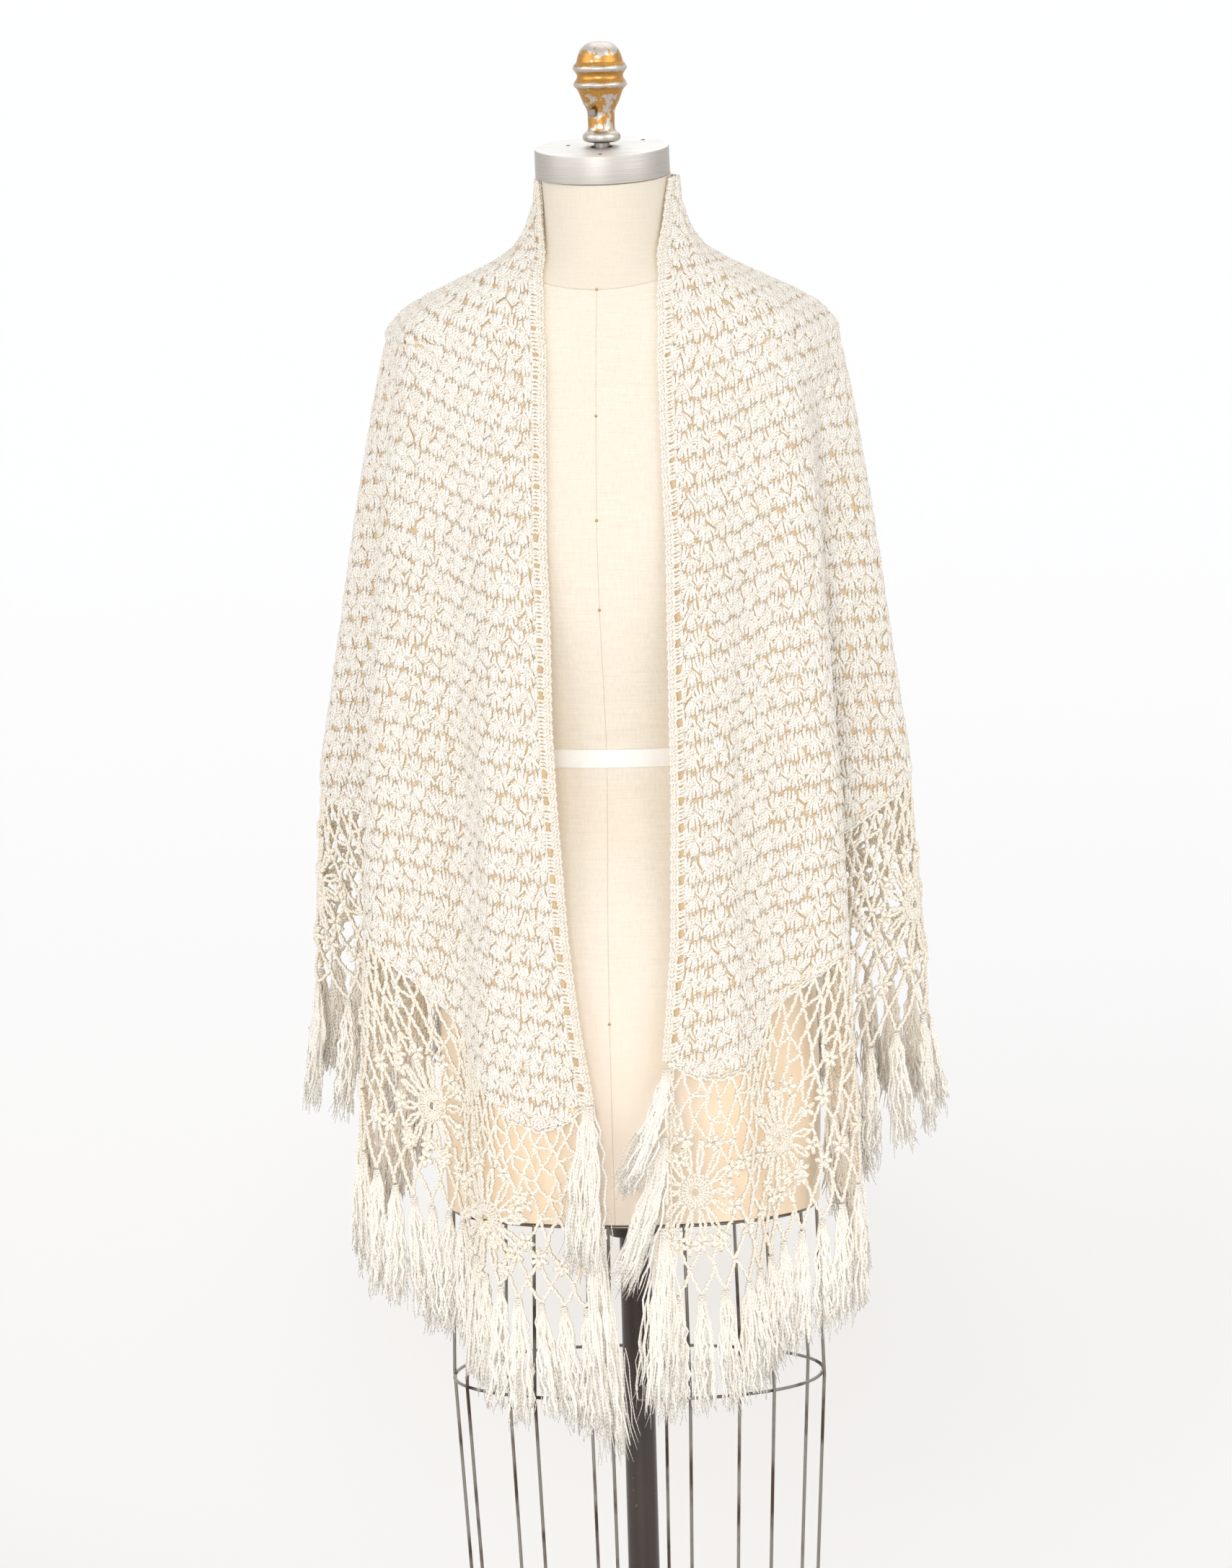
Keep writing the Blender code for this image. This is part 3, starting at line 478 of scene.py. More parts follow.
screw_steel, screw_shader = start_material("screw_steel", 0.42, 1.0)
_, screw_fine = add_grain(screw_steel, 60.0, 1400.0)
join(screw_steel, mix_colours(screw_steel, screw_fine, srgb(120, 112, 104), srgb(62, 54, 48)),
     screw_shader.inputs["Base Color"])
screws_bm = bmesh.new()
for x, y, turn in ((-0.031, 0.010, 0.4), (0.032, 0.036, 1.3), (0.005, -0.046, 2.2)):
    head = turn_profile(((0.0, 0.0), (0.0019, 0.0), (0.0017, 0.0004), (0.0, 0.0005)), 14)
    head.transform(cap_place @ Matrix.Translation((x, y, CAP_HEIGHT)) @ Matrix.Rotation(turn, 4, "Z"))
    part = bpy.data.meshes.new("screw")
    head.to_mesh(part)
    head.free()
    screws_bm.from_mesh(part)
    bpy.data.meshes.remove(part)
screws = add_piece("cap_screws", screws_bm, screw_steel, "form")


# Neck knob, its rod and its set screw
# A turned knob with worn gilt over pale metal. It is fixed on a steel rod by a square-headed screw.

KNOB_FOOT = Vector((CAP_CENTRE[0], CAP_CENTRE[1], 1.5038))
KNOB_PROFILE = (
    # radius, height above the knob's foot
    (0.0120, 0.0000), (0.0152, 0.0012), (0.0167, 0.0040), (0.0158, 0.0075), (0.0122, 0.0110), (0.0118, 0.0190),
    (0.0124, 0.0280), (0.0158, 0.0350), (0.0188, 0.0430), (0.0206, 0.0468), (0.0237, 0.0502), (0.0222, 0.0538),
    (0.0205, 0.0566), (0.0206, 0.0600), (0.0239, 0.0646), (0.0226, 0.0682), (0.0206, 0.0706), (0.0197, 0.0740),
    (0.0168, 0.0815), (0.0108, 0.0868), (0.0050, 0.0882),
)


def rounded_profile(profile, parts):
    """Curve through a profile's points, which keeps their places and rounds the way between them."""
    points = np.array(profile)
    ends = np.vstack((2 * points[0] - points[1], points, 2 * points[-1] - points[-2]))
    curve = []
    for before, first, second, after in zip(ends, ends[1:], ends[2:], ends[3:]):
        for share in np.linspace(0, 1, parts, endpoint=False):
            curve.append(0.5 * (2 * first + (second - before) * share
                                + (2 * before - 5 * first + 4 * second - after) * share**2
                                + (3 * first - before - 3 * second + after) * share**3))
    curve.append(points[-1])
    return [(float(radius), float(height)) for radius, height in curve]


def make_gilt():
    """Gilt that is left in the hollows, and worn to pale metal on the ridges, the crown and the foot."""
    material, shader = start_material("worn_gilt", 0.34, 1.0)
    blotch, fine = add_grain(material, 150.0, 900.0)
    place = add_node(material, "ShaderNodeTexCoord").outputs["Object"]
    parts = add_node(material, "ShaderNodeSeparateXYZ")
    join(material, place, parts.inputs[0])
    above = math_node(material, "SUBTRACT", parts.outputs[2], KNOB_FOOT.z)
    wear = add_node(material, "ShaderNodeValToRGB")
    ramp = wear.color_ramp
    ramp.elements[0].position, ramp.elements[0].color = 0.0, (0.75, 0.75, 0.75, 1)
    ramp.elements[1].position, ramp.elements[1].color = 1.0, (0.95, 0.95, 0.95, 1)
    for height, amount in ((0.009, 0.80), (0.012, 0.45), (0.022, 0.50), (0.032, 0.55), (0.042, 0.40), (0.0478, 0.20),
                           (0.0495, 1.0), (0.0515, 1.0), (0.0535, 0.05), (0.0615, 0.05), (0.0635, 1.0), (0.0662, 1.0),
                           (0.0685, 0.10), (0.0745, 0.35), (0.0800, 0.72)):
        stop = ramp.elements.new(height / 0.0885)
        stop.color = (amount, amount, amount, 1)
    join(material, math_node(material, "MULTIPLY", above, 1 / 0.0885), wear.inputs[0])
    worn = math_node(material, "MULTIPLY", math_node(material, "SUBTRACT", math_node(
        material, "MULTIPLY_ADD", math_node(material, "SUBTRACT", blotch, 0.5), 1.9, wear.outputs[0]), 0.5), 9.0, clamp=True)
    bare = mix_colours(material, fine, srgb(214, 209, 202), srgb(150, 142, 131))
    gold = mix_colours(material, fine, srgb(206, 158, 88), srgb(146, 98, 42))
    join(material, mix_colours(material, worn, gold, bare), shader.inputs["Base Color"])
    join(material, math_node(material, "MULTIPLY_ADD", fine, 0.26, 0.24), shader.inputs["Roughness"])
    add_bump(material, shader, math_node(material, "MULTIPLY_ADD", worn, -0.6, fine), 0.0002, 0.4)
    return material


def make_wire_steel():
    material, shader = start_material("wire", 0.42, 0.9)
    blotch, fine = add_grain(material, 1.0, 1500.0, (40.0, 40.0, 22.0))
    rust = math_node(material, "MULTIPLY", math_node(material, "SUBTRACT", blotch, 0.50), 7.0, clamp=True)
    steel = mix_colours(material, fine, srgb(156, 150, 142), srgb(96, 90, 83))
    brown = mix_colours(material, fine, srgb(84, 64, 50), srgb(48, 36, 29))
    join(material, mix_colours(material, rust, steel, brown), shader.inputs["Base Color"])
    join(material, math_node(material, "MULTIPLY_ADD", rust, 0.35, 0.34), shader.inputs["Roughness"])
    join(material, math_node(material, "MULTIPLY_ADD", rust, -0.6, 0.95), shader.inputs["Metallic"])
    add_bump(material, shader, fine, 0.0002, 0.3)
    return material


gilt = make_gilt()
wire_steel = make_wire_steel()
knob_bm = turn_profile([(0.0, 0.0), *rounded_profile(KNOB_PROFILE, 4), (0.0, 0.0885)], 64)
knob_bm.transform(Matrix.Translation(KNOB_FOOT))
knob = add_piece("knob_turned", knob_bm, gilt, "form", ["neck_knob"])

rod_bm = turn_profile(((0.0, 0.0), (0.0070, 0.0), (0.0070, 1.5032 - cap_seat.z - 0.0006), (0.0, 1.5032 - cap_seat.z - 0.0006)), 32)
rod_bm.transform(Matrix.Translation(cap_seat + Vector((0, 0, 0.0006))))
rod = add_piece("neck_rod_turned", rod_bm, wire_steel, "form", ["neck_rod"])
rod.data.set_sharp_from_angle(angle=math.radians(50))


def node_object(name):
    """The object of a CAD node that stays."""
    return next(obj for obj in bpy.data.objects if obj.name == name)


knob_screw = node_object("knob_screw")
knob_screw.data.materials.clear()
knob_screw.data.materials.append(wire_steel)


# Wire skirt
# Twelve upright spring-steel wires hang from the form's rim and are welded outside three wire rings.
# They carry the hang of a skirt below the form. The steel has spots of brown rust.

WIRE_RADIUS = 0.0015
SKIRT_SECTIONS = (
    # height, half width, depth
    (0.5565, 0.1615, 0.1210),
    (0.4030, 0.1650, 0.1260),
    (0.1900, 0.1530, 0.1160),
)


def skirt_radius(angle, height):
    rows = np.array(SKIRT_SECTIONS)[::-1]
    half_width, depth = (np.interp(height, rows[:, 0], rows[:, k]) for k in (1, 2))
    return outline_radius(angle, half_width, depth, depth, 2.2)


def bend_wire(name, lines, closed, replaced):
    """Round wires along lines of points, as one piece."""
    curve = bpy.data.curves.new(name, "CURVE")
    curve.dimensions = "3D"
    curve.bevel_depth = WIRE_RADIUS
    curve.bevel_resolution = 2
    curve.use_fill_caps = True
    for line in lines:
        spline = curve.splines.new("POLY")
        spline.points.add(len(line) - 1)
        for target, point in zip(spline.points, line):
            target.co = (*point, 1.0)
        spline.use_cyclic_u = closed
    holder = bpy.data.objects.new(name + "_line", curve)
    bpy.context.scene.collection.objects.link(holder)
    mesh = bpy.data.meshes.new_from_object(holder)
    bpy.data.objects.remove(holder)
    bpy.data.curves.remove(curve)
    bm = bmesh.new()
    bm.from_mesh(mesh)
    bpy.data.meshes.remove(mesh)
    bmesh.ops.recalc_face_normals(bm, faces=bm.faces)
    piece = add_piece(name, bm, wire_steel, "form", replaced)
    return piece


angles = np.linspace(0, math.tau, 96, endpoint=False)
for name, (height, _, _) in zip(("rim_ring", "middle_ring", "bottom_ring"), SKIRT_SECTIONS):
    radii = skirt_radius(angles, height)
    line = [(r * math.sin(a), -r * math.cos(a), height) for a, r in zip(angles, radii)]
    bend_wire(name + "_wire", [line], True, [name])
uprights = []
for k in range(12):
    angle = math.tau * k / 12 - math.radians(3)
    lowest = 0.1900 - WIRE_RADIUS
    heights = np.array([0.5582, 0.5565, 0.5300, 0.4900, 0.4463, 0.4030, 0.3600, 0.3000, 0.2400, lowest])
    radii = skirt_radius(angle, np.clip(heights, 0.1900, 0.5565)) + 2 * WIRE_RADIUS + 0.0003
    uprights.append([(r * math.sin(angle), -r * math.cos(angle), z) for r, z in zip(radii, heights)])
bend_wire("upright_wires", uprights, False, [f"upright_wire_{k:02d}" for k in range(1, 13)])


# Pole, collar and foot
# A steel tube in chipped black enamel turns in a short collar under the form. It stands in a round
# cast-iron foot with a raised socket.

FOOT_PROFILE = (
    (0.2050, 0.0000), (0.2100, 0.0040), (0.2080, 0.0100), (0.1900, 0.0160), (0.0700, 0.0300),
    (0.0340, 0.0440), (0.0260, 0.0900), (0.0240, 0.1000),
)


def make_enamel(name, chip_level, gloss):
    material, shader = start_material(name, gloss)
    blotch, fine = add_grain(material, 1.0, 700.0, (30.0, 30.0, 12.0))
    chips, _ = add_grain(material, 130.0, 700.0)
    bare = math_node(material, "MULTIPLY", math_node(material, "SUBTRACT", chips, chip_level), 26.0, clamp=True)
    dark = mix_colours(material, blotch, srgb(30, 24, 21), srgb(58, 44, 37))
    rust = mix_colours(material, fine, srgb(150, 116, 84), srgb(92, 66, 46))
    join(material, mix_colours(material, bare, dark, rust), shader.inputs["Base Color"])
    join(material, math_node(material, "MULTIPLY_ADD", bare, 0.4, gloss), shader.inputs["Roughness"])
    add_bump(material, shader, math_node(material, "MULTIPLY_ADD", bare, -2.0, fine), 0.0003, 0.25)
    return material


enamel = make_enamel("black_paint", 0.70, 0.26)
iron = make_enamel("cast_iron", 0.66, 0.5)
under = FORM_SECTIONS[-1][0]
pole_bm = turn_profile(((0.0, 0.1003), (0.0140, 0.1003), (0.0140, under - 0.0003), (0.0, under - 0.0003)), 48)
pole = add_piece("pole_tube", pole_bm, enamel, "stand", ["pole"])
pole.data.set_sharp_from_angle(angle=math.radians(50))
collar_bm = turn_profile((
    (0.0146, under - 0.0300), (0.0224, under - 0.0300), (0.0230, under - 0.0294), (0.0230, under - 0.0009),
    (0.0224, under - 0.0003), (0.0146, under - 0.0003), (0.0146, under - 0.0300)), 48)
collar = add_piece("collar_ring", collar_bm, enamel, "form", ["pole_collar"])
collar.data.set_sharp_from_angle(angle=math.radians(40))
foot_bm = turn_profile([(0.0, 0.0), (0.2040, 0.0), *rounded_profile(FOOT_PROFILE, 4)[1:], (0.0, 0.1000)], 96)
foot = add_piece("foot_casting", foot_bm, iron, "stand", ["foot"])
foot.data.set_sharp_from_angle(angle=math.radians(50))


# Shape of the shawl, and a painted shade sheet under its stitches
# The dense part of the shawl is one crocheted piece of thick cream cotton. A thin tan sheet under its stitches is
# painted shade: it stands for the form in shade, seen through the small slits between them.
# The shawl lies on the form's neck and shoulders and falls from there in soft folds, open down the front.

NECK_EDGE = 1.4720
EASE = 0.0036
HANG_SECTIONS = (
    # height, half width, front depth, back depth
    (1.3360, 0.1890, 0.0960, 0.0940),
    (1.2700, 0.1920, 0.1100, 0.1060),
    (1.1700, 0.1920, 0.1260, 0.1120),
    (1.0600, 0.1890, 0.1260, 0.1160),
    (0.9600, 0.1870, 0.1260, 0.1220),
    (0.8600, 0.1900, 0.1310, 0.1310),
    (0.7400, 0.1950, 0.1390, 0.1420),
    (0.6000, 0.1990, 0.1440, 0.1450),
    (0.4500, 0.2010, 0.1460, 0.1470),
)
NECK_STAND = (
    # height, how far the cloth stands off the sides and back of the neck
    (1.4720, 0.0010),
    (1.4500, 0.0030),
    (1.4250, 0.0100),
    (1.4060, 0.0150),
    (1.3930, 0.0130),
    (1.3800, 0.0090),
    (1.3540, 0.0030),
    (1.3200, 0.0000),
)
FOLDS = {
    # angle from the front, how far the fold stands out
    "left": ((180, 0.000), (160, 0.020), (143, -0.010), (127, 0.034), (111, -0.012), (96, 0.088), (84, -0.014),
             (71, 0.045), (53, -0.007), (38, 0.005), (22, 0.000), (0, 0.000)),
    "right": ((180, 0.000), (163, 0.016), (147, -0.010), (131, 0.030), (112, -0.014), (94, 0.066), (81, -0.012),
              (68, 0.030), (54, -0.006), (40, 0.004), (22, 0.000), (0, 0.000)),
}
FRONT_EDGES = (
    # height, angle of the left edge, angle of the right edge
    (1.4720, 82.0, 80.0),
    (1.4300, 62.0, 62.0),
    (1.4050, 45.0, 47.0),
    (1.3750, 33.0, 36.5),
    (1.3250, 27.0, 32.0),
    (1.2600, 24.2, 30.0),
    (1.2000, 22.6, 29.0),
    (1.1000, 21.8, 28.6),
    (1.0000, 22.2, 28.4),
    (0.9400, 21.2, 28.2),
    (0.8130, 16.8, 26.0),
    (0.7300, 12.2, 22.5),
    (0.6700, 8.0, 20.0),
    (0.4600, 5.0, 17.5),
)
HEM = (
    # way round, left dense edge, left lace edge, right dense edge, right lace edge
    (0.000, 0.930, 0.755, 0.930, 0.755),
    (0.220, 0.942, 0.762, 0.944, 0.760),
    (0.380, 0.955, 0.776, 0.958, 0.764),
    (0.490, 0.960, 0.772, 0.978, 0.756),
    (0.565, 0.905, 0.716, 0.945, 0.722),
    (0.635, 0.845, 0.622, 0.875, 0.650),
    (0.690, 0.797, 0.576, 0.815, 0.594),
    (0.740, 0.745, 0.556, 0.785, 0.556),
    (0.790, 0.692, 0.520, 0.750, 0.533),
    (0.850, 0.656, 0.498, 0.697, 0.510),
    (0.900, 0.645, 0.492, 0.690, 0.503),
    (0.950, 0.652, 0.490, 0.693, 0.499),
    (1.000, 0.668, 0.490, 0.706, 0.500),
)
CREASES = {
    # angle at the top, angle at the foot, top, foot, width in degrees, depth
    "left": ((58, 52, 1.20, 0.62, 3.0, -0.0045), (66, 61, 1.10, 0.66, 2.4, -0.0035), (46, 34, 1.02, 0.74, 3.4, 0.0030),
             (78, 74, 1.22, 0.80, 3.0, 0.0050), (120, 116, 1.20, 0.85, 3.5, -0.0050), (137, 134, 1.10, 0.80, 3.0, 0.0040),
             (168, 170, 1.18, 0.84, 3.5, -0.0040)),
    "right": ((52, 46, 1.16, 0.66, 2.8, -0.0040), (60, 57, 1.24, 0.78, 3.2, -0.0055), (72, 70, 1.10, 0.72, 2.6, 0.0040),
              (36, 33, 1.06, 0.80, 2.4, 0.0025), (104, 101, 1.20, 0.88, 3.2, 0.0045), (122, 124, 1.14, 0.82, 3.4, -0.0050),
              (154, 152, 1.20, 0.86, 3.6, 0.0045)),
}

hang_rows = rounded_table(HANG_SECTIONS, 0.014)
stand_rows = rounded_table(NECK_STAND, 0.004)
edge_rows = rounded_table(FRONT_EDGES, 0.006)


def fold_offset(side, degrees, height):
    """How far a fold or a crease stands out of the plain hang, or sinks into it."""
    rows = np.array(FOLDS[side][::-1], dtype=float)
    along = np.interp(degrees, rows[:, 0], np.arange(len(rows)))
    first = np.clip(np.floor(along).astype(int), 0, len(rows) - 2)
    blend = 0.5 - 0.5 * np.cos(math.pi * (along - first))
    offset = rows[first, 1] + (rows[first + 1, 1] - rows[first, 1]) * blend
    growth = np.clip((1.400 - height) / (1.400 - 0.955), 0, 1) + 0.30 * np.maximum(0.0, 0.955 - height)
    offset = offset * growth
    for high_angle, low_angle, top, foot, width, depth in CREASES[side]:
        share = np.clip((top - height) / (top - foot), 0, 1)
        middle = high_angle + (low_angle - high_angle) * share
        strength = np.sin(math.pi * np.clip(share, 0, 1) ** 0.8)
        offset = offset + depth * strength * np.exp(-(((degrees - middle) / width) ** 2))
    return offset


def shawl_radius(side, angle, height, edge_near):
    """Radius of the middle of the cloth: on the form, or hanging clear of it in folds."""
    degrees = np.degrees(angle)
    slope = (form_radius(angle, height - 0.004) - form_radius(angle, height + 0.004)) / 0.008
    sideways = np.clip((degrees - 35) / 30, 0, 1) * (1 - 0.75 * edge_near)
    stand = stand_rows(np.clip(height, 1.3200, NECK_EDGE))[0]
    ease = EASE * (1 - 0.45 * edge_near * np.clip((height - 1.30) / 0.03, 0, 1))
    on_form = form_radius(angle, height) + ease * np.sqrt(1 + slope * slope) + stand * sideways
    hang = outline_radius(angle, *hang_rows(np.minimum(height, 1.3360)), 2.3) + fold_offset(side, degrees, height)
    hang = np.where(height > 1.3360, on_form + fold_offset(side, degrees, height), hang)
    apart = hang - on_form
    return on_form + 0.5 * (apart + np.sqrt(apart * apart + 0.0016**2)) - 0.0003


def shawl_place(way, height):
    """Points of the cloth. The way is -1 at the left front edge, 0 at the centre back and 1 at the right."""
    way, height = np.broadcast_arrays(np.asarray(way, dtype=float), np.asarray(height, dtype=float))
    left_edge, right_edge = edge_rows(height)
    edge = np.radians(np.where(way < 0, left_edge, right_edge))
    angle = math.pi - np.abs(way) * (math.pi - edge)
    edge_near = np.clip((np.abs(way) - 0.86) / 0.12, 0, 1)
    left, right = (shawl_radius(side, angle, height, edge_near) for side in ("left", "right"))
    radius = np.where(way < 0, left, right)
    x = np.where(way < 0, -1.0, 1.0) * radius * np.sin(angle)
    return np.stack((x, -radius * np.cos(angle), height), axis=-1)


def unit(vectors):
    return vectors / np.maximum(np.linalg.norm(vectors, axis=-1, keepdims=True), 1e-9)


def hem_heights(way):
    """Heights of the dense part's lower edge and of the lace's lower edge."""
    rows = np.array(HEM)
    columns = [np.interp(np.abs(way), rows[:, 0], rows[:, k]) for k in range(1, 5)]
    return np.where(way < 0, columns[0], columns[2]), np.where(way < 0, columns[1], columns[3])


way_grid = np.linspace(-1.08, 1.08, 721)
height_grid = np.linspace(1.478, 0.440, 521)
mesh_ways, mesh_heights = np.meshgrid(way_grid, height_grid, indexing="ij")
cloth_grid = shawl_place(mesh_ways, mesh_heights)
facing_grid = unit(np.cross(np.gradient(cloth_grid, axis=0), np.gradient(cloth_grid, axis=1)))


def between_columns(table, way, row):
    """Value of a table of the cloth between its columns, one for each way, and its rows."""
    column = np.clip((way - way_grid[0]) / (way_grid[1] - way_grid[0]), 0, len(way_grid) - 1.001)
    row = np.clip(row, 0, table.shape[1] - 1.001)
    i, j = column.astype(int), row.astype(int)
    s, t = column - i, row - j
    if table.ndim == 3:
        s, t = s[..., None], t[..., None]
    near = table[i, j] * (1 - t) + table[i, j + 1] * t
    far = table[i + 1, j] * (1 - t) + table[i + 1, j + 1] * t
    return near * (1 - s) + far * s


def on_shawl(way, height, lift=0.0):
    """Points a little out of the cloth, and the cloth's directions out of its face there."""
    row = (height_grid[0] - height) / (height_grid[0] - height_grid[1])
    out = unit(between_columns(facing_grid, way, row))
    return between_columns(cloth_grid, way, row) + out * np.asarray(lift)[..., None], out


row_steps = np.linalg.norm(np.diff(cloth_grid, axis=1), axis=2)
arc_table = np.concatenate((np.zeros((len(way_grid), 1)), np.cumsum(row_steps, axis=1)), axis=1)
arc_table -= np.interp(1.478 - NECK_EDGE, 1.478 - height_grid, arc_table[len(way_grid) // 2])
soften = np.ones(31) / 31
arc_table = np.stack([np.convolve(np.pad(column, 15, mode="edge"), soften, "valid") for column in arc_table.T], axis=1)
depth_grid = np.arange(0.0, 1.16, 0.004)
height_table = np.stack([np.interp(depth_grid, arcs, height_grid) for arcs in arc_table])
WIDEST = {"left": 0.6045, "right": 0.652}


def row_drop(way, depth):
    """How far the rows of stitches fall below their own depth, between the outer folds and the back."""
    outer = np.where(way < 0, WIDEST["left"], WIDEST["right"])
    share = np.clip(1 - np.abs(way) / outer, 0, 1)
    return 0.16 * (1 - np.cos(math.pi * share)) / 2 * np.minimum(1.0, depth / 0.3)


def row_height(way, depth):
    """Height of the cloth at a depth measured down it from the neck edge."""
    return between_columns(height_table, way, (depth + row_drop(way, depth)) / 0.004)


def make_twist():
    """Group: the lay of twisted yarn. Along holds turns round the yarn and metres along it."""
    group = bpy.data.node_groups.new("yarn_twist", "ShaderNodeTree")
    group.interface.new_socket("Along", in_out="INPUT", socket_type="NodeSocketVector")
    for name, value in (("Strands", 2.0), ("Turns", 400.0)):
        socket = group.interface.new_socket(name, in_out="INPUT", socket_type="NodeSocketFloat")
        socket.default_value = value
    group.interface.new_socket("Height", in_out="OUTPUT", socket_type="NodeSocketFloat")
    entry = group.nodes.new("NodeGroupInput")
    leave = group.nodes.new("NodeGroupOutput")
    parts = group.nodes.new("ShaderNodeSeparateXYZ")
    group.links.new(entry.outputs["Along"], parts.inputs[0])

    def step(operation, first, second=None):
        node = group.nodes.new("ShaderNodeMath")
        node.operation = operation
        for socket, operand in zip(node.inputs, (first, second)):
            if isinstance(operand, (int, float)):
                socket.default_value = operand
            elif operand is not None:
                group.links.new(operand, socket)
        return node.outputs[0]

    turns = step("ADD", step("MULTIPLY", parts.outputs[0], entry.outputs["Strands"]),
                 step("MULTIPLY", parts.outputs[1], entry.outputs["Turns"]))
    wave = step("SINE", step("MULTIPLY", turns, math.tau))
    group.links.new(step("ADD", step("MULTIPLY", wave, 0.5), 0.5), leave.inputs["Height"])
    return group


twist_group = make_twist()


def make_cotton(name, strands, turns, pale, mid, shade, depth, sheen, clear):
    """Yarn in its own twist, with painted shade. The attribute it reads is 0 deep between the stitches and 1 on their
    crowns, lower on each yarn's side towards the cloth, and it also carries a random tone of the yarn; where it is low,
    the shade colour is mixed in.

    Some light goes through the yarn, so its shadows are pale.
    """
    material, shader = start_material(name, 0.72, specular=0.3)
    shader.inputs["Sheen Weight"].default_value = sheen
    shader.inputs["Sheen Roughness"].default_value = 0.4
    uv = add_node(material, "ShaderNodeUVMap", uv_map="yarn")
    twist = add_node(material, "ShaderNodeGroup", node_tree=twist_group)
    twist.inputs["Strands"].default_value = strands
    twist.inputs["Turns"].default_value = turns
    join(material, uv.outputs["UV"], twist.inputs["Along"])
    ply = twist.outputs["Height"]
    blotch, fine = add_grain(material, 24.0, 620.0)
    tone_and_shade = add_node(material, "ShaderNodeAttribute", attribute_name="tone_and_shade").outputs["Fac"]
    # Painted shade: dark dashes in the grooves between the plies, and the shade colour where the attribute is low.
    groove = math_node(material, "MULTIPLY_ADD", ply, -4.2, 1.15, clamp=True)
    broken = math_node(material, "MULTIPLY", math_node(material, "SUBTRACT", fine, 0.37), 5.0, clamp=True)
    dash = math_node(material, "MULTIPLY", groove, broken)
    crown = math_node(material, "MULTIPLY_ADD", dash, -0.78, tone_and_shade, clamp=True)
    deep = mix_colours(material, math_node(material, "MULTIPLY", crown, 2.0, clamp=True), shade, mid)
    top = mix_colours(material, math_node(material, "MULTIPLY_ADD", crown, 2.0, -1.0, clamp=True), deep, pale)
    aged = mix_colours(material, math_node(material, "MULTIPLY", math_node(
        material, "SUBTRACT", blotch, 0.5), 0.5, clamp=True), top, mid)
    join(material, aged, shader.inputs["Base Color"])
    join(material, math_node(material, "MULTIPLY_ADD", fine, 0.2, 0.58), shader.inputs["Roughness"])
    add_bump(material, shader, math_node(material, "MULTIPLY_ADD", fine, 0.4, ply), depth, 0.9)
    shadow_ray = add_node(material, "ShaderNodeLightPath").outputs["Is Shadow Ray"]
    join(material, math_node(material, "MULTIPLY_ADD", shadow_ray, -clear, 1.0), shader.inputs["Alpha"])
    return material


cotton = make_cotton("crochet", 2.0, 320.0, srgb(243, 240, 234), srgb(239, 231, 217), srgb(196, 165, 121), 0.0007, 0.1, 0.78)


def make_slit_shade_cloth():
    material, shader = start_material("painted_slit_shade", 0.9, specular=0.15)
    blotch, fine = add_grain(material, 90.0, 700.0)
    # Painted shade: the tan of the outer face stands for the shaded form seen through the slits between the stitches.
    tone = mix_colours(material, blotch, srgb(214, 188, 150), srgb(192, 162, 120))
    outside = mix_colours(material, math_node(material, "MULTIPLY", fine, 0.4), tone, srgb(222, 200, 166))

    # Painted light: the side towards the form, seen through the lace, is painted paler, for light that comes through
    # the cloth and bounces inside it
    facing_out = add_node(material, "ShaderNodeVectorMath", operation="DOT_PRODUCT")
    join(material, add_node(material, "ShaderNodeNewGeometry").outputs["Normal"], facing_out.inputs[0])
    join(material, add_node(material, "ShaderNodeTexCoord").outputs["Object"], facing_out.inputs[1])
    inside = math_node(material, "MULTIPLY_ADD", facing_out.outputs["Value"], -60.0, 0.5, clamp=True)
    join(material, mix_colours(material, inside, outside, srgb(255, 236, 200)), shader.inputs["Base Color"])
    join(material, math_node(material, "MULTIPLY_ADD", fine, 0.15, 0.8), shader.inputs["Roughness"])
    add_bump(material, shader, fine, 0.0008, 0.6)
    shadow_ray = add_node(material, "ShaderNodeLightPath").outputs["Is Shadow Ray"]
    join(material, math_node(material, "MULTIPLY_ADD", shadow_ray, -0.8, 1.0), shader.inputs["Alpha"])
    return material


def make_shade_sheet():
    """Thin sheet of painted shade from just inside one front edge to just inside the other, down to the dense part's
    edge.
    """
    rows = 54
    columns = 220
    inset = 0.0004
    bm = bmesh.new()
    bmesh.ops.create_grid(bm, x_segments=columns, y_segments=rows, size=0.5)
    spots = np.array([tuple(vert.co) for vert in bm.verts])
    across, down = spots[:, 0] * 2, 0.5 - spots[:, 1]
    way = across.copy()
    for _ in range(3):
        dense_edge, _ = hem_heights(way)
        height = NECK_EDGE - 0.001 + (dense_edge + 0.0015 - NECK_EDGE + 0.001) * down
        here = shawl_place(np.sign(across) * 0.99, height)
        beside = shawl_place(np.sign(across) * 1.0, height)
        per_way = np.linalg.norm(beside - here, axis=1) / 0.01
        way = across * (1 - inset / per_way)
    # Under the eyelets the sheet lies a little deeper, so its painted shade shows through them.
    under_eyelets = np.clip((0.0095 - (1 - np.abs(way)) * per_way) / 0.0025, 0, 1)
    places, _ = on_shawl(way, height, 0.0005 - 0.0012 * under_eyelets)
    for vert, place in zip(bm.verts, places):
        vert.co = place
    bmesh.ops.recalc_face_normals(bm, faces=bm.faces)
    return add_piece("shawl_ground", bm, make_slit_shade_cloth(), "form", ["shawl_body"])


shade_sheet = make_shade_sheet()
wall = shade_sheet.modifiers.new("wall", "SOLIDIFY")
wall.thickness = 0.0008
wall.offset = 0.0
shawl_pieces = []


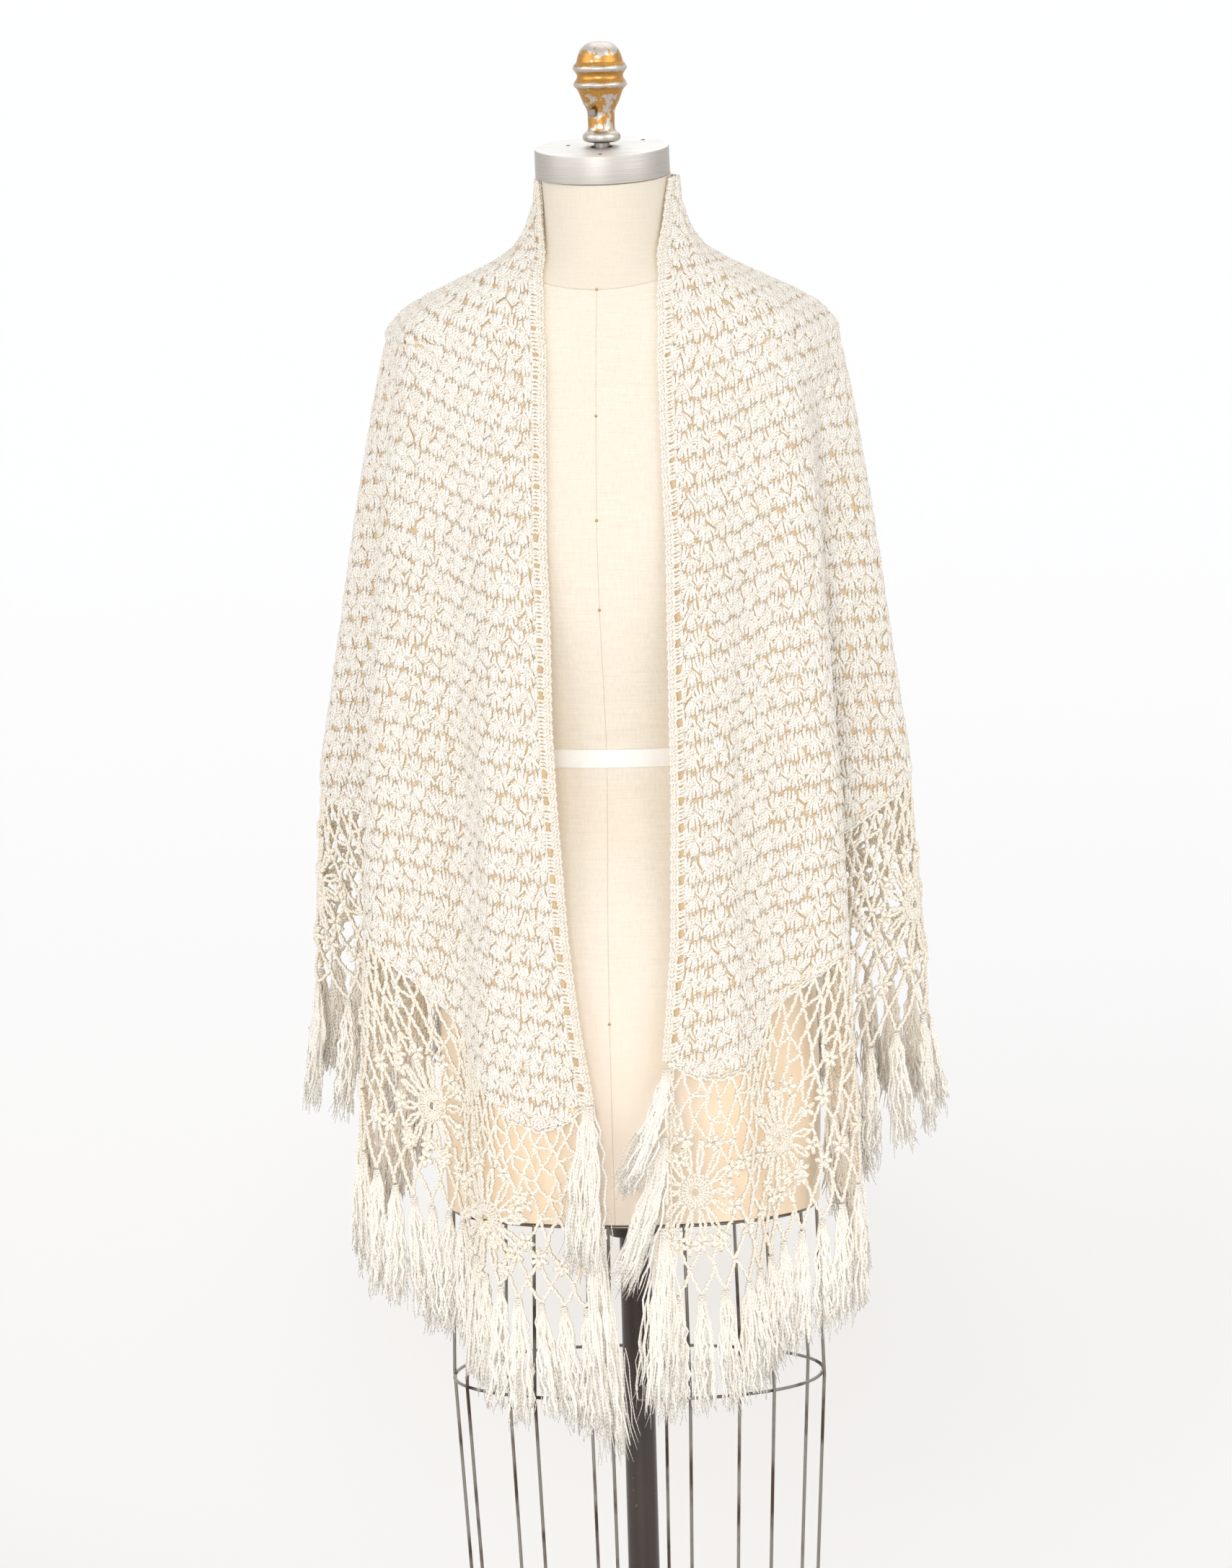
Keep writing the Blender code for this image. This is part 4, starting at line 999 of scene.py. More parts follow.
# Shell stitches
# Every second row opens upwards and every other one downwards: fans of five long stitches worked
# into one point, 15 mm apart. The narrow ends of two rows pass each other every 25 mm and leave
# slanting slits there.

ROW_PITCH = 0.0248
FAN_PITCH = 0.0150
FAN_LENGTH = 0.0182
random = np.random.default_rng(7)


def yarn_piece(name, centres, radii, outs, tones_and_shades, sides, material, replaced=(), flat=1.0, deep=0.68):
    """Many yarns as one joined mesh. Arrays hold each yarn's points, radii, cloth directions, and a tone with painted
    shade for each point.

    The UV map "yarn" holds turns round the yarn and metres along it, from a start of the yarn's own. Each yarn's side
    towards the cloth gets painted shade, as deep sets.
    """
    count, points = radii.shape
    along = unit(np.gradient(centres, axis=1))
    across = unit(np.cross(along, outs))
    up = np.cross(across, along)
    turns = (np.arange(sides) + 0.5) / sides * math.tau
    round_across = across[:, :, None, :] * np.cos(turns)[None, None, :, None]
    round_up = up[:, :, None, :] * (np.sin(turns) * flat)[None, None, :, None]
    skin = centres[:, :, None, :] + radii[:, :, None, None] * (round_across + round_up)
    index = np.arange(count * points * sides).reshape(count, points, sides)
    beside = np.roll(index, -1, axis=2)
    walls = np.stack((index[:, :-1], index[:, 1:], beside[:, 1:], beside[:, :-1]), axis=-1).reshape(-1, 4)
    ends = np.concatenate((index[:, 0], index[:, -1, ::-1]))
    lengths = np.concatenate((np.zeros((count, 1)), np.cumsum(np.linalg.norm(np.diff(
        centres, axis=1), axis=2), axis=1)), axis=1) + random.uniform(0, 1, (count, 1))
    v = np.broadcast_to(lengths[:, :, None], index.shape).ravel()
    u = np.broadcast_to(np.arange(sides) / sides, index.shape).ravel()
    wall_u = np.stack((u[walls[:, 0]], u[walls[:, 1]], u[walls[:, 1]] + 1 / sides, u[walls[:, 0]] + 1 / sides), axis=1)
    # Painted shade: the side of each yarn towards the cloth is darker, down to the share deep, on top of the tone and
    # shade given for each point.
    depth = (1 + np.sin(turns)) / 2
    tone_and_shade = (tones_and_shades[:, :, None] * (deep + (1 - deep) * depth[None, None, :])).ravel()

    mesh = bpy.data.meshes.new(name)
    mesh.vertices.add(index.size)
    mesh.vertices.foreach_set("co", skin.astype(np.float32).ravel())
    mesh.loops.add(walls.size + ends.size)
    mesh.loops.foreach_set("vertex_index", np.concatenate((walls.ravel(), ends.ravel())).astype(np.int32))
    mesh.polygons.add(len(walls) + len(ends))
    starts = np.concatenate((np.arange(len(walls)) * 4, walls.size + np.arange(len(ends)) * sides))
    mesh.polygons.foreach_set("loop_start", starts.astype(np.int32))
    uv = mesh.uv_layers.new(name="yarn")
    wall_uv = np.stack((wall_u.ravel(), v[walls].ravel()), axis=1)
    end_uv = np.stack((u[ends].ravel(), v[ends].ravel()), axis=1)
    uv.uv.foreach_set("vector", np.concatenate((wall_uv, end_uv)).astype(np.float32).ravel())
    mesh.attributes.new("tone_and_shade", "FLOAT", "POINT").data.foreach_set("value", tone_and_shade.astype(np.float32))
    mesh.update(calc_edges=True)
    mesh.shade_smooth()
    mesh.materials.append(material)
    piece = bpy.data.objects.new(name, mesh)
    bpy.context.scene.collection.objects.link(piece)
    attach(piece, "form")
    if replaced:
        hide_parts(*replaced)
    shawl_pieces.append(piece)
    return piece


def work_row(depth):
    """The long stitches of one pair of rows, whose narrow ends pass each other at a depth down the cloth."""
    ways = np.linspace(-1, 1, 1601)
    line = shawl_place(ways, row_height(ways, np.full(len(ways), depth)))
    along = np.concatenate(([0], np.cumsum(np.linalg.norm(np.diff(line, axis=0), axis=1))))
    margin = 0.0070
    fans = max(4, int(round((along[-1] - 2 * margin) / FAN_PITCH)))
    pitch = (along[-1] - 2 * margin) / fans
    steps = np.array([0.0, 0.24, 0.50, 0.76, 1.0])
    opening = np.array([0.14, 0.46, 0.95, 1.06, 1.06])
    puff = np.array([0.30, 0.90, 1.0, 0.80, 0.15])
    sway = np.array([0.0, 1.0, -1.0, 1.0, 0.0]) * 0.00030
    lobes = np.arange(-2, 3)
    parts = []
    for turn, shift in ((1.0, 0.5), (-1.0, 0.0)):
        number = fans if shift else fans + 1
        middles = margin + (np.arange(number) + shift) * pitch + random.normal(0, 0.0005, number)
        across = lobes[None, :, None] * (pitch / 5) * opening[None, None, :]
        across = across + random.normal(0, 0.00030, (number, 5, 1)) + random.normal(0, 0.00030, (number, 5, 5))
        across = across + sway[None, None, :] * random.choice([-1.0, 1.0], (number, 5, 1))
        reach = FAN_LENGTH - 0.0040 * (lobes[None, :, None] / 2) ** 2 - random.uniform(0, 0.0024, (number, 5, 1))
        down = turn * (steps[None, None, :] * reach - 0.0026) + random.normal(0, 0.00045, (number, 5, 1))
        spot = middles[:, None, None] + across
        lift = 0.0010 + 0.0012 * (1 - (across / 0.0085) ** 2) * puff[None, None, :]
        lift = lift + random.normal(0, 0.00022, lift.shape)
        parts.append([part.reshape(-1, 5) for part in np.broadcast_arrays(spot, depth + down, lift)])
    spot, deep, lift = (np.concatenate(columns) for columns in zip(*parts))
    keep = (spot.min(axis=1) > margin - 0.0012) & (spot.max(axis=1) < along[-1] - margin + 0.0012)
    spot, deep, lift = spot[keep], deep[keep], lift[keep]
    way = np.interp(spot, along, ways)
    height = row_height(way, deep)
    dense_edge, _ = hem_heights(way)
    below = dense_edge - height
    keep = (below.mean(axis=1) < 0.002) & (deep.max(axis=1) > 0.0)
    height = np.maximum(height, dense_edge + 0.0005)
    height = np.minimum(height, NECK_EDGE - 0.0005)
    return way[keep], height[keep], lift[keep]


def work_shells():
    rows = [work_row(depth) for depth in np.arange(0.010, 0.98, ROW_PITCH)]
    rows = [row for row in rows if len(row[0])]
    way, height, lift = (np.concatenate(columns) for columns in zip(*rows))
    centres, outs = on_shawl(way, height, lift)
    widths = np.array([0.00116, 0.00176, 0.00200, 0.00196, 0.00130])
    radii = widths[None, :] * random.uniform(0.88, 1.12, (len(way), 1)) * random.uniform(0.92, 1.08, (len(way), 5))
    # Painted shade: each stitch is darker at its two ends, deep in the grooves where the rows meet. The random factors
    # are the yarn's own tone.
    tones_and_shades = np.array([0.66, 0.92, 1.02, 0.98, 0.82])[None, :] * random.uniform(0.88, 1.06, (len(way), 1))
    tones_and_shades = tones_and_shades * random.uniform(0.80, 1.12, tones_and_shades.shape)
    order = np.argsort(way.mean(axis=1), kind="stable")
    for k, part in enumerate(np.array_split(order, math.ceil(len(order) / 5200))):
        yarn_piece(f"shell_stitches_{k + 1}", centres[part], radii[part], outs[part], tones_and_shades[part], 4, cotton, flat=0.72)


work_shells()


# Front, neck and lower edgings
# Three chains side by side are worked round each front edge, 8 mm wide, over a row of open eyelets.
# One chain finishes the neck, and one closes the last row of shells.

CHAIN_LINK = 0.0042


def chain_points(line, outs, radius, sway=0.00035):
    """A chain along a line of points: two points a link, one fat and one thin, swaying from side to side."""
    steps = np.concatenate(([0], np.cumsum(np.linalg.norm(np.diff(line, axis=0), axis=1))))
    count = max(5, 2 * int(round(steps[-1] / CHAIN_LINK)) + 1)
    even = np.linspace(0, steps[-1], count)
    points = np.stack([np.interp(even, steps, line[:, k]) for k in range(3)], axis=1)
    facing = unit(np.stack([np.interp(even, steps, outs[:, k]) for k in range(3)], axis=1))
    along = unit(np.gradient(points, axis=0))
    side = np.cross(along, facing)
    points = points + side * (sway * np.where(np.arange(count) // 2 % 2 == 0, 1.0, -1.0))[:, None]
    fat = np.where(np.arange(count) % 2 == 0, 0.74, 1.0)
    return points, facing, radius * fat


def chain_piece(name, chains, sides, replaced=(), material=None):
    """Joins chains of any lengths into one piece, in groups of equal counts of points."""
    groups = {}
    for points, facing, radii in chains:
        groups.setdefault(len(points), []).append((points, facing, radii))
    made = []
    for count, members in groups.items():
        centres, outs, radii = (np.stack(column) for column in zip(*members))
        tones_and_shades = random.uniform(0.80, 1.04, (len(members), 1)) * np.ones((1, count))
        # Painted shade at the thin waist between links. The random share above is the yarn's own tone.
        tones_and_shades[:, ::2] *= 0.84
        part = yarn_piece(name + "_part", centres, radii, outs, tones_and_shades, sides, material or cotton)
        shawl_pieces.remove(part)
        made.append(part)
    with bpy.context.temp_override(active_object=made[0], selected_editable_objects=made, selected_objects=made):
        if len(made) > 1:
            bpy.ops.object.join()
    piece = made[0]
    piece.name = name
    piece.data.name = name
    if replaced:
        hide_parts(*replaced)
    shawl_pieces.append(piece)
    return piece


def edge_way(side, offset, heights):
    """Way of a line beside a front edge. A positive offset lies outside the cloth, towards the centre front."""
    per_way = np.linalg.norm(shawl_place(side * 1.0, heights) - shawl_place(side * 0.99, heights), axis=1) / 0.01
    return side * (1 + offset / per_way)


for name, side in (("front_edging_left", -1.0), ("front_edging_right", 1.0)):
    foot_height = float(hem_heights(np.array([side]))[0][0])
    heights = np.linspace(NECK_EDGE, foot_height, 500)
    chains = []
    for offset, lift, radius in ((0.0008, 0.0006, 0.0016), (0.0034, 0.0014, 0.0017), (0.0058, 0.0004, 0.0015),
                                 (-0.0062, 0.0004, 0.0013)):
        line, outs = on_shawl(edge_way(side, offset, heights), heights, np.full(500, lift))
        chains.append(chain_points(line, outs, radius))
    arcs = np.concatenate(([0], np.cumsum(np.linalg.norm(np.diff(line, axis=0), axis=1))))
    collar_heights = np.linspace(NECK_EDGE, 1.33, 60)
    rolled, outs = on_shawl(edge_way(side, 0.0034, collar_heights), collar_heights, np.full(60, -0.0012))
    chains.append(chain_points(rolled, outs, 0.0017))
    for count, middle in enumerate(np.arange(0.004, arcs[-1], 0.0033)):
        closing = 0.75 * np.clip((np.interp(middle, arcs, heights) - 0.95) / 0.25, 0, 1)
        if count % 7 in (3, 4) and random.uniform(0, 1) > closing:
            continue
        here = float(np.interp(middle + random.normal(0, 0.0003), arcs, heights))
        spots = np.linspace(-0.0072, 0.0012, 5)
        bar_heights = np.full(5, here) + 0.0006 * np.sin(np.arange(5) * 1.6)
        line_bar, outs_bar = on_shawl(edge_way(side, spots, bar_heights), bar_heights, np.full(5, 0.0004))
        chains.append(chain_points(line_bar, outs_bar, 0.0018, 0.0003))
    chain_piece(name + "_chains", chains, 6, [name])

ways = np.linspace(-1, 1, 2600)
dense_edge, _ = hem_heights(ways)
chains = []
for drop, lift, radius in ((0.0004, 0.0008, 0.0017), (-0.0030, 0.0016, 0.0013)):
    scallop = 0.0012 * np.abs(np.sin(np.linspace(0, 90 * math.pi, 2600)))
    line, outs = on_shawl(ways, dense_edge - drop - scallop, np.full(2600, lift))
    chains.append(chain_points(line, outs, radius))
neck_ways = np.linspace(-1.005, 1.005, 900)
line, outs = on_shawl(neck_ways, np.full(900, NECK_EDGE - 0.0012), np.full(900, 0.0006))
chains.append(chain_points(line, outs, 0.0017))
chain_piece("edge_chains", chains, 5)


# Lace border
# An open net of chains hangs from the dense part, worked in one with it. Daisies are set in it: a
# ring, a disc of radial stitches, paired chain petals and small picot flowers at the petals' tips.
# The last rows of net are wider and end in the scallops that carry the tassels.

lace_ways = np.linspace(-1, 1, 2401)
top_heights, low_heights = hem_heights(lace_ways)
lace_line = shawl_place(lace_ways, (top_heights + low_heights) / 2)
lace_arcs = np.concatenate(([0], np.cumsum(np.linalg.norm(np.diff(lace_line, axis=0), axis=1))))
DAISIES = (
    # side, angle from the front, height of the centre, width for its height
    (1, 55.0, 0.632, 1.0), (1, 28.0, 0.591, 0.95), (-1, 41.0, 0.567, 1.35), (-1, 59.0, 0.662, 1.0),
    (-1, 96.0, 0.846, 1.0), (1, 92.0, 0.823, 1.0), (-1, 82.0, 0.760, 1.0), (1, 76.0, 0.722, 1.0),
    (-1, 109.0, 0.866, 1.0), (-1, 122.0, 0.868, 1.0), (-1, 139.0, 0.868, 1.0), (-1, 155.0, 0.858, 1.0),
    (-1, 171.0, 0.846, 1.0), (1, 106.0, 0.862, 1.0), (1, 121.0, 0.870, 1.0), (1, 138.0, 0.866, 1.0),
    (1, 155.0, 0.856, 1.0), (1, 172.0, 0.846, 1.0),
)
DAISY_REACH = 0.0360
DAISY_STRETCH = 1.28
NET_ROWS = (
    # share of the way down the border, spacing of the knots
    (0.00, 0.0140),
    (0.10, 0.0140),
    (0.20, 0.0140),
    (0.30, 0.0140),
    (0.40, 0.0140),
    (0.52, 0.0210),
    (0.64, 0.0210),
    (0.76, 0.0210),
    (0.88, 0.0210),
    (1.00, 0.0210),
)


def way_at(side, degrees, height):
    edge = edge_rows(np.array([height]))[0 if side < 0 else 1][0]
    return side * (180 - degrees) / (180 - edge)


daisy_middles = []
for side, degrees, height, wide in DAISIES:
    daisy_middles.append((float(np.interp(way_at(side, degrees, height), lace_ways, lace_arcs)), height, wide))


def lace_place(spot, height, lift):
    """Points of the border at a length along it and a height."""
    way = np.interp(spot, lace_arcs, lace_ways)
    return on_shawl(way, height, lift)


def net_chain(first, second, sag=0.0, radius=0.0021, steps=8):
    """A chain of the net between two spots, each a length along the border and a height."""
    share = np.linspace(0, 1, steps)
    spot = first[0] + (second[0] - first[0]) * share + sag * np.sin(math.pi * share)
    height = first[1] + (second[1] - first[1]) * share - abs(sag) * 0.5 * np.sin(math.pi * share)
    line, outs = lace_place(spot, height, 0.0005 + 0.0008 * np.sin(math.pi * share))
    return chain_points(line, outs, radius)


def outside_daisies(first, second):
    """The part of a chain that lies outside every daisy, or None."""
    share = np.linspace(0, 1, 9)
    spots = first[0] + (second[0] - first[0]) * share
    heights = first[1] + (second[1] - first[1]) * share
    clear = np.ones(9, dtype=bool)
    for middle, centre, wide in daisy_middles:
        clear &= ((spots - middle) / (DAISY_REACH * wide)) ** 2 + ((heights - centre) / (DAISY_REACH * DAISY_STRETCH)) ** 2 > 1.0
    if not clear.any():
        return None
    kept = np.flatnonzero(clear)
    low, high = kept[0], kept[-1]
    if high - low < 2:
        return None
    return (spots[low], heights[low]), (spots[high], heights[high])


lace_cotton = make_cotton("lace", 2.0, 320.0, srgb(247, 242, 232), srgb(242, 232, 214), srgb(208, 180, 138), 0.0007, 0.1, 0.80)


def net_knots():
    """Knots of the net, row by row, each a length along the border and a height."""
    total = lace_arcs[-1]
    rows = []
    for row, (share, spacing) in enumerate(NET_ROWS):
        count = int(round(total / spacing))
        spots = (np.arange(count + 1 - row % 2) + 0.5 * (row % 2)) * total / count
        loose = float(0 < row < len(NET_ROWS) - 1)
        spots = np.clip(spots + random.normal(0, 0.0019, len(spots)) * loose, 0.0, total)
        upper = np.interp(spots, lace_arcs, top_heights)
        lower = np.interp(spots, lace_arcs, low_heights)
        heights = upper + (lower - upper) * share + random.normal(0, 0.0019, len(spots)) * loose
        rows.append(np.stack((spots, heights), axis=1))
    return rows


def net_chains(rows):
    chains = []
    for row, (upper, lower) in enumerate(zip(rows, rows[1:])):
        for knot in lower:
            after = int(np.searchsorted(upper[:, 0], knot[0]))
            for near in (after - 1, after):
                if 0 <= near < len(upper) and abs(upper[near, 0] - knot[0]) < NET_ROWS[row + 1][1]:
                    part = outside_daisies(upper[near], knot)
                    if part:
                        chains.append(net_chain(*part, sag=float(random.normal(0, 0.0017))))
        for k in range(len(upper) - 1):
            if 0 < row < 6 and (k + row) % 3 == 0:
                part = outside_daisies(upper[k], upper[k + 1])
                if part:
                    chains.append(net_chain(*part, sag=0.0014))
    edge_shares = np.linspace(0, 1, 26)
    for side in (0, -1):
        column = lace_ways[side]
        dense, low = hem_heights(np.array([column]))
        heights = dense[0] + (low[0] - dense[0]) * edge_shares
        for inset in (0.0006, 0.0036):
            line, outs = on_shawl(edge_way(column, -inset, heights), heights, np.full(26, 0.0008))
            chains.append(chain_points(line, outs, 0.0016))
    return chains


def picot_flower(spot, height, petals, size, turn):
    """A little flower: fat looped petals round a point."""
    chains = []
    for petal in range(petals):
        angle = math.tau * petal / petals + turn
        reach = np.array([0.0008, 0.38 * size, 0.74 * size, size])
        line, outs = lace_place(spot + reach * math.cos(angle), height + reach * math.sin(angle),
                                np.array([0.0016, 0.0032, 0.0030, 0.0012]))
        chains.append((line, outs, np.array([0.0012, 0.0023, 0.0026, 0.0014])))
    return chains


def daisy_chains():
    chains = []
    for middle, centre, wide in daisy_middles:
        def ray(angle, near, far, steps, bend=0.0, lift=0.0016):
            reach = np.linspace(near, far, steps)
            turn = angle + bend * np.sin(math.pi * np.linspace(0, 1, steps))
            tall = 1 + (DAISY_STRETCH - 1) * np.clip((reach - 0.014) / 0.020, 0, 1)
            return lace_place(middle + reach * np.cos(turn) * wide, centre + reach * np.sin(turn) * tall, np.full(steps, lift))

        circle = np.linspace(0, math.tau, 40)
        for size, radius, lift in ((0.0044, 0.0014, 0.0024), (0.0156, 0.0017, 0.0018), (0.0124, 0.0012, 0.0024)):
            line, outs = lace_place(middle + size * np.cos(circle) * wide, centre + size * np.sin(circle), np.full(40, lift))
            chains.append(chain_points(line, outs, radius, 0.0002))
        for k in range(24):
            line, outs = ray(math.tau * k / 24, 0.0040, 0.0156, 4, lift=0.0020)
            chains.append((line, outs, np.array([0.0010, 0.0014, 0.0016, 0.0013])))
        start_turn = random.uniform(0, 1)
        for k in range(14):
            angle = math.tau * (k + start_turn) / 14 + random.normal(0, 0.03)
            for bend in (-0.09, 0.09):
                far = DAISY_REACH * random.uniform(0.97, 1.04)
                line, outs = ray(angle, 0.0152, far, 9, bend)
                chains.append(chain_points(line, outs, 0.0022))
        for k in range(9):
            angle = math.tau * (k + start_turn) / 9
            tip = DAISY_REACH * 1.05
            chains += picot_flower(middle + tip * math.cos(angle) * wide, centre + tip * math.sin(angle) * DAISY_STRETCH,
                                   5, 0.0088, angle)
    return chains


def flower_band(knots):
    """A row of flowers set close together at knots of the net, below the daisies."""
    chains = []
    for spot, height in knots:
        chains += picot_flower(spot, height + random.normal(0, 0.0015), 6, 0.0092, random.uniform(0, 1))
    return chains


knot_rows = net_knots()
net = net_chains(knot_rows)
net.sort(key=lambda chain: chain[0][0][0])
half = len(net) // 2
chain_piece("lace_net_left", net[:half], 4, ["lace_border_left", "lace_border_back"], lace_cotton)
chain_piece("lace_net_right", net[half:], 4, ["lace_border_right"], lace_cotton)
chain_piece("lace_daisies", daisy_chains(), 4, material=lace_cotton)
chain_piece("lace_flowers", flower_band(np.concatenate((knot_rows[7], knot_rows[5][::3], knot_rows[4][1::4]))), 4,
            material=lace_cotton)


# Tassels
# A lock of shiny, crimped viscose hangs from every scallop of the hem, bound with a few turns of
# the same yarn, and a longer one from each lower corner of the dense part. Their ends are frayed.

LENGTHS = (
    # way round, length of the tassels there
    (-1.0, 0.118), (-0.97, 0.112), (-0.5, 0.110), (0.0, 0.108), (0.5, 0.110), (0.97, 0.106), (1.0, 0.112),
)
EDGE_TASSELS = (
    # side, height of the head on the front edge, swing towards the right, lean outwards, length, spread
    (-1, 0.668, -0.006, 0.010, 0.150, 0.020), (-1, 0.566, 0.014, 0.008, 0.206, 0.018),
    (1, 0.700, -0.036, 0.030, 0.106, 0.011), (1, 0.640, -0.036, 0.022, 0.135, 0.014),
    (1, 0.560, -0.008, 0.008, 0.168, 0.020),
)
silk = make_cotton("tassel_silk", 2.0, 300.0, srgb(249, 245, 238), srgb(247, 238, 224), srgb(232, 213, 183), 0.0006, 0.25, 0.90)


def tassel_yarns(top, out, side, length, width, count, swing, first=0.0, fine=False):
    """Yarns of one tassel from its bound head down, or only its frayed ends, as arrays."""
    points = 6 if fine else 13
    share = np.linspace(first, 1.05 if fine else 1.0, points)
    turn = random.uniform(0, math.tau, count)
    spread = np.sqrt(random.uniform(0.02, 1, count))
    flare = np.interp(share, [0, 0.05, 0.16, 0.5, 1, 1.05], [0.22, 0.20, 0.52, 0.90, 1.0, 1.12])
    reach = width * spread[:, None] * flare[None, :]
    free = np.minimum(1, share * 7)[None, :]
    waves = []
    for size in (0.0024, 0.0017):
        phase = share[None, :] * random.uniform(12, 32, (count, 1)) + random.uniform(0, 6, (count, 1))
        waves.append(random.uniform(0.3, 1.0, (count, 1)) * size * np.sin(phase) * free)
    reach_side = reach * np.cos(turn)[:, None] + waves[0]
    reach_out = reach * 0.55 * np.sin(turn)[:, None] + waves[1]
    fall = length * random.uniform(0.80, 1.0, (count, 1)) * share[None, :]
    bent = share[None, :] ** 1.5
    centres = (top[None, None, :] + side * reach_side[..., None] + out * reach_out[..., None]
               + np.array([0, 0, -1.0]) * fall[..., None] + swing * bent[..., None])
    if fine:
        radii = np.interp(share, [first, 1.0, 1.05], [0.00055, 0.00045, 0.00020])
    else:
        radii = np.interp(share, [0, 0.08, 0.5, 0.9, 1], [0.0010, 0.0012, 0.0013, 0.0012, 0.0006])
    radii = radii[None, :] * random.uniform(0.8, 1.15, (count, 1))
    # Painted shade near the bound head, where the yarns crowd together, rising to the full tone towards the loose ends.
    # The random factor is the yarn's own tone.
    tones_and_shades = np.interp(share, [0, 0.06, 0.14, 1], [0.70, 0.72, 0.95, 1.05])[None, :] * random.uniform(
        0.88, 1.05, (count, 1))
    return centres, radii, np.broadcast_to(out, centres.shape), tones_and_shades


def wrapped_head(top, out, side, height, radius):
    """A few turns of yarn round a tassel's neck."""
    turns = np.linspace(0, 4 * math.tau, 32)
    centres = (top + side * (radius * np.cos(turns))[:, None] + out * (radius * 0.9 * np.sin(turns))[:, None]
               + np.array([0, 0, -1.0]) * (height * turns / turns[-1])[:, None])
    return centres, np.broadcast_to(out, centres.shape), np.full(32, 0.0012)


def hang_tassels():
    yarns, frays, heads = [], [], []
    lengths = np.array(LENGTHS)
    lowest = knot_rows[-1]
    for spot, height in lowest:
        spot = min(max(spot, 0.003), lace_arcs[-1] - 0.003)
        way = float(np.interp(spot, lace_arcs, lace_ways))
        point, out = on_shawl(np.array([way]), np.array([height]), np.array([0.0006]))
        out = unit(out[0] * np.array([1, 1, 0]))
        side = np.cross(np.array([0, 0, 1.0]), out)
        top = point[0] - np.array([0, 0, 0.0015])
        heads.append(wrapped_head(top, out, side, 0.0080, 0.0024))
        length = float(np.interp(way, lengths[:, 0], lengths[:, 1])) * random.uniform(0.93, 1.04)
        sideways = math.exp(-(((abs(way) - 0.53) / 0.09) ** 2))
        swing = out * (random.uniform(-0.001, 0.004) + 0.013 * sideways) + side * random.normal(0, 0.005)
        width = random.uniform(0.0085, 0.0125)
        yarns.append(tassel_yarns(top, out, side, length, width, 23, swing))
        frays.append(tassel_yarns(top, out, side, length, width * 1.15, 22, swing, 0.60, True))
    for side_sign, height, swing_x, lean, length, width in EDGE_TASSELS:
        heights = np.array([height])
        way = edge_way(float(side_sign), 0.0028, heights)
        point, out = on_shawl(way, heights, np.array([0.0030]))
        out = unit(out[0] * np.array([1, 1, 0]))
        side = np.cross(np.array([0, 0, 1.0]), out)
        heads.append(wrapped_head(point[0], out, side, 0.0120, 0.0032))
        swing = out * lean + np.array([swing_x, 0, 0])
        for share in (0.6, 1.0):
            yarns.append(tassel_yarns(point[0], out, side, length, width * share, 24, swing))
            frays.append(tassel_yarns(point[0], out, side, length, width * share * 1.15, 24, swing, 0.62, True))
    columns = [np.concatenate(column) for column in zip(*yarns)]
    order = np.argsort(columns[0][:, 0, 0], kind="stable")
    left, right = np.array_split(order, 2)
    for name, part, nodes in (
        ("tassel_yarns_left", left, ["tassels_left_front", "tassels_left_side", "corner_tassel_left"]),
        ("tassel_yarns_right", right, ["tassels_back", "tassels_right_side", "tassels_right_front", "corner_tassel_right"]),
    ):
        centres, radii, outs, tones_and_shades = (column[part] for column in columns)
        yarn_piece(name, centres, radii, outs, tones_and_shades, 4, silk, nodes, deep=0.82)
    centres, radii, outs, tones_and_shades = (np.concatenate(column) for column in zip(*frays))
    yarn_piece("tassel_frays", centres, radii, outs, tones_and_shades, 3, silk, deep=0.82)
    chain_piece("tassel_heads", heads, 4, material=cotton)


hang_tassels()


# Floor and light
# A plain pale floor with painted shadow round the stand and behind it, and even, soft studio light, strongest from the
# front.

floor_white, floor_shader = start_material("floor_white", 0.9, specular=0.1)
# Painted shadow: the floor is darker near the stand, fading out over some ten metres, and darker still in a long soft
# patch behind it, where the form's shadow would fall.
floor_place = add_node(floor_white, "ShaderNodeTexCoord").outputs["Object"]
away = add_node(floor_white, "ShaderNodeVectorMath", operation="LENGTH")
join(floor_white, floor_place, away.inputs[0])
reach = math_node(floor_white, "MULTIPLY", math_node(floor_white, "SUBTRACT", away.outputs["Value"], 0.6), 0.09, clamp=True)
reach = math_node(floor_white, "POWER", reach, 0.5)
floor_with_painted_shade = mix_colours(floor_white, reach, srgb(243, 240, 237), srgb(251, 251, 252))
shade_place = add_node(floor_white, "ShaderNodeMapping", vector_type="TEXTURE")
shade_place.inputs["Location"].default_value = (-0.38, 2.70, 0.0)
shade_place.inputs["Rotation"].default_value = (0.0, 0.0, camera_turn)
shade_place.inputs["Scale"].default_value = (0.60, 2.3, 1.0)
join(floor_white, floor_place, shade_place.inputs["Vector"])
shade_middle = add_node(floor_white, "ShaderNodeTexGradient", gradient_type="QUADRATIC_SPHERE")
join(floor_white, shade_place.outputs["Vector"], shade_middle.inputs["Vector"])
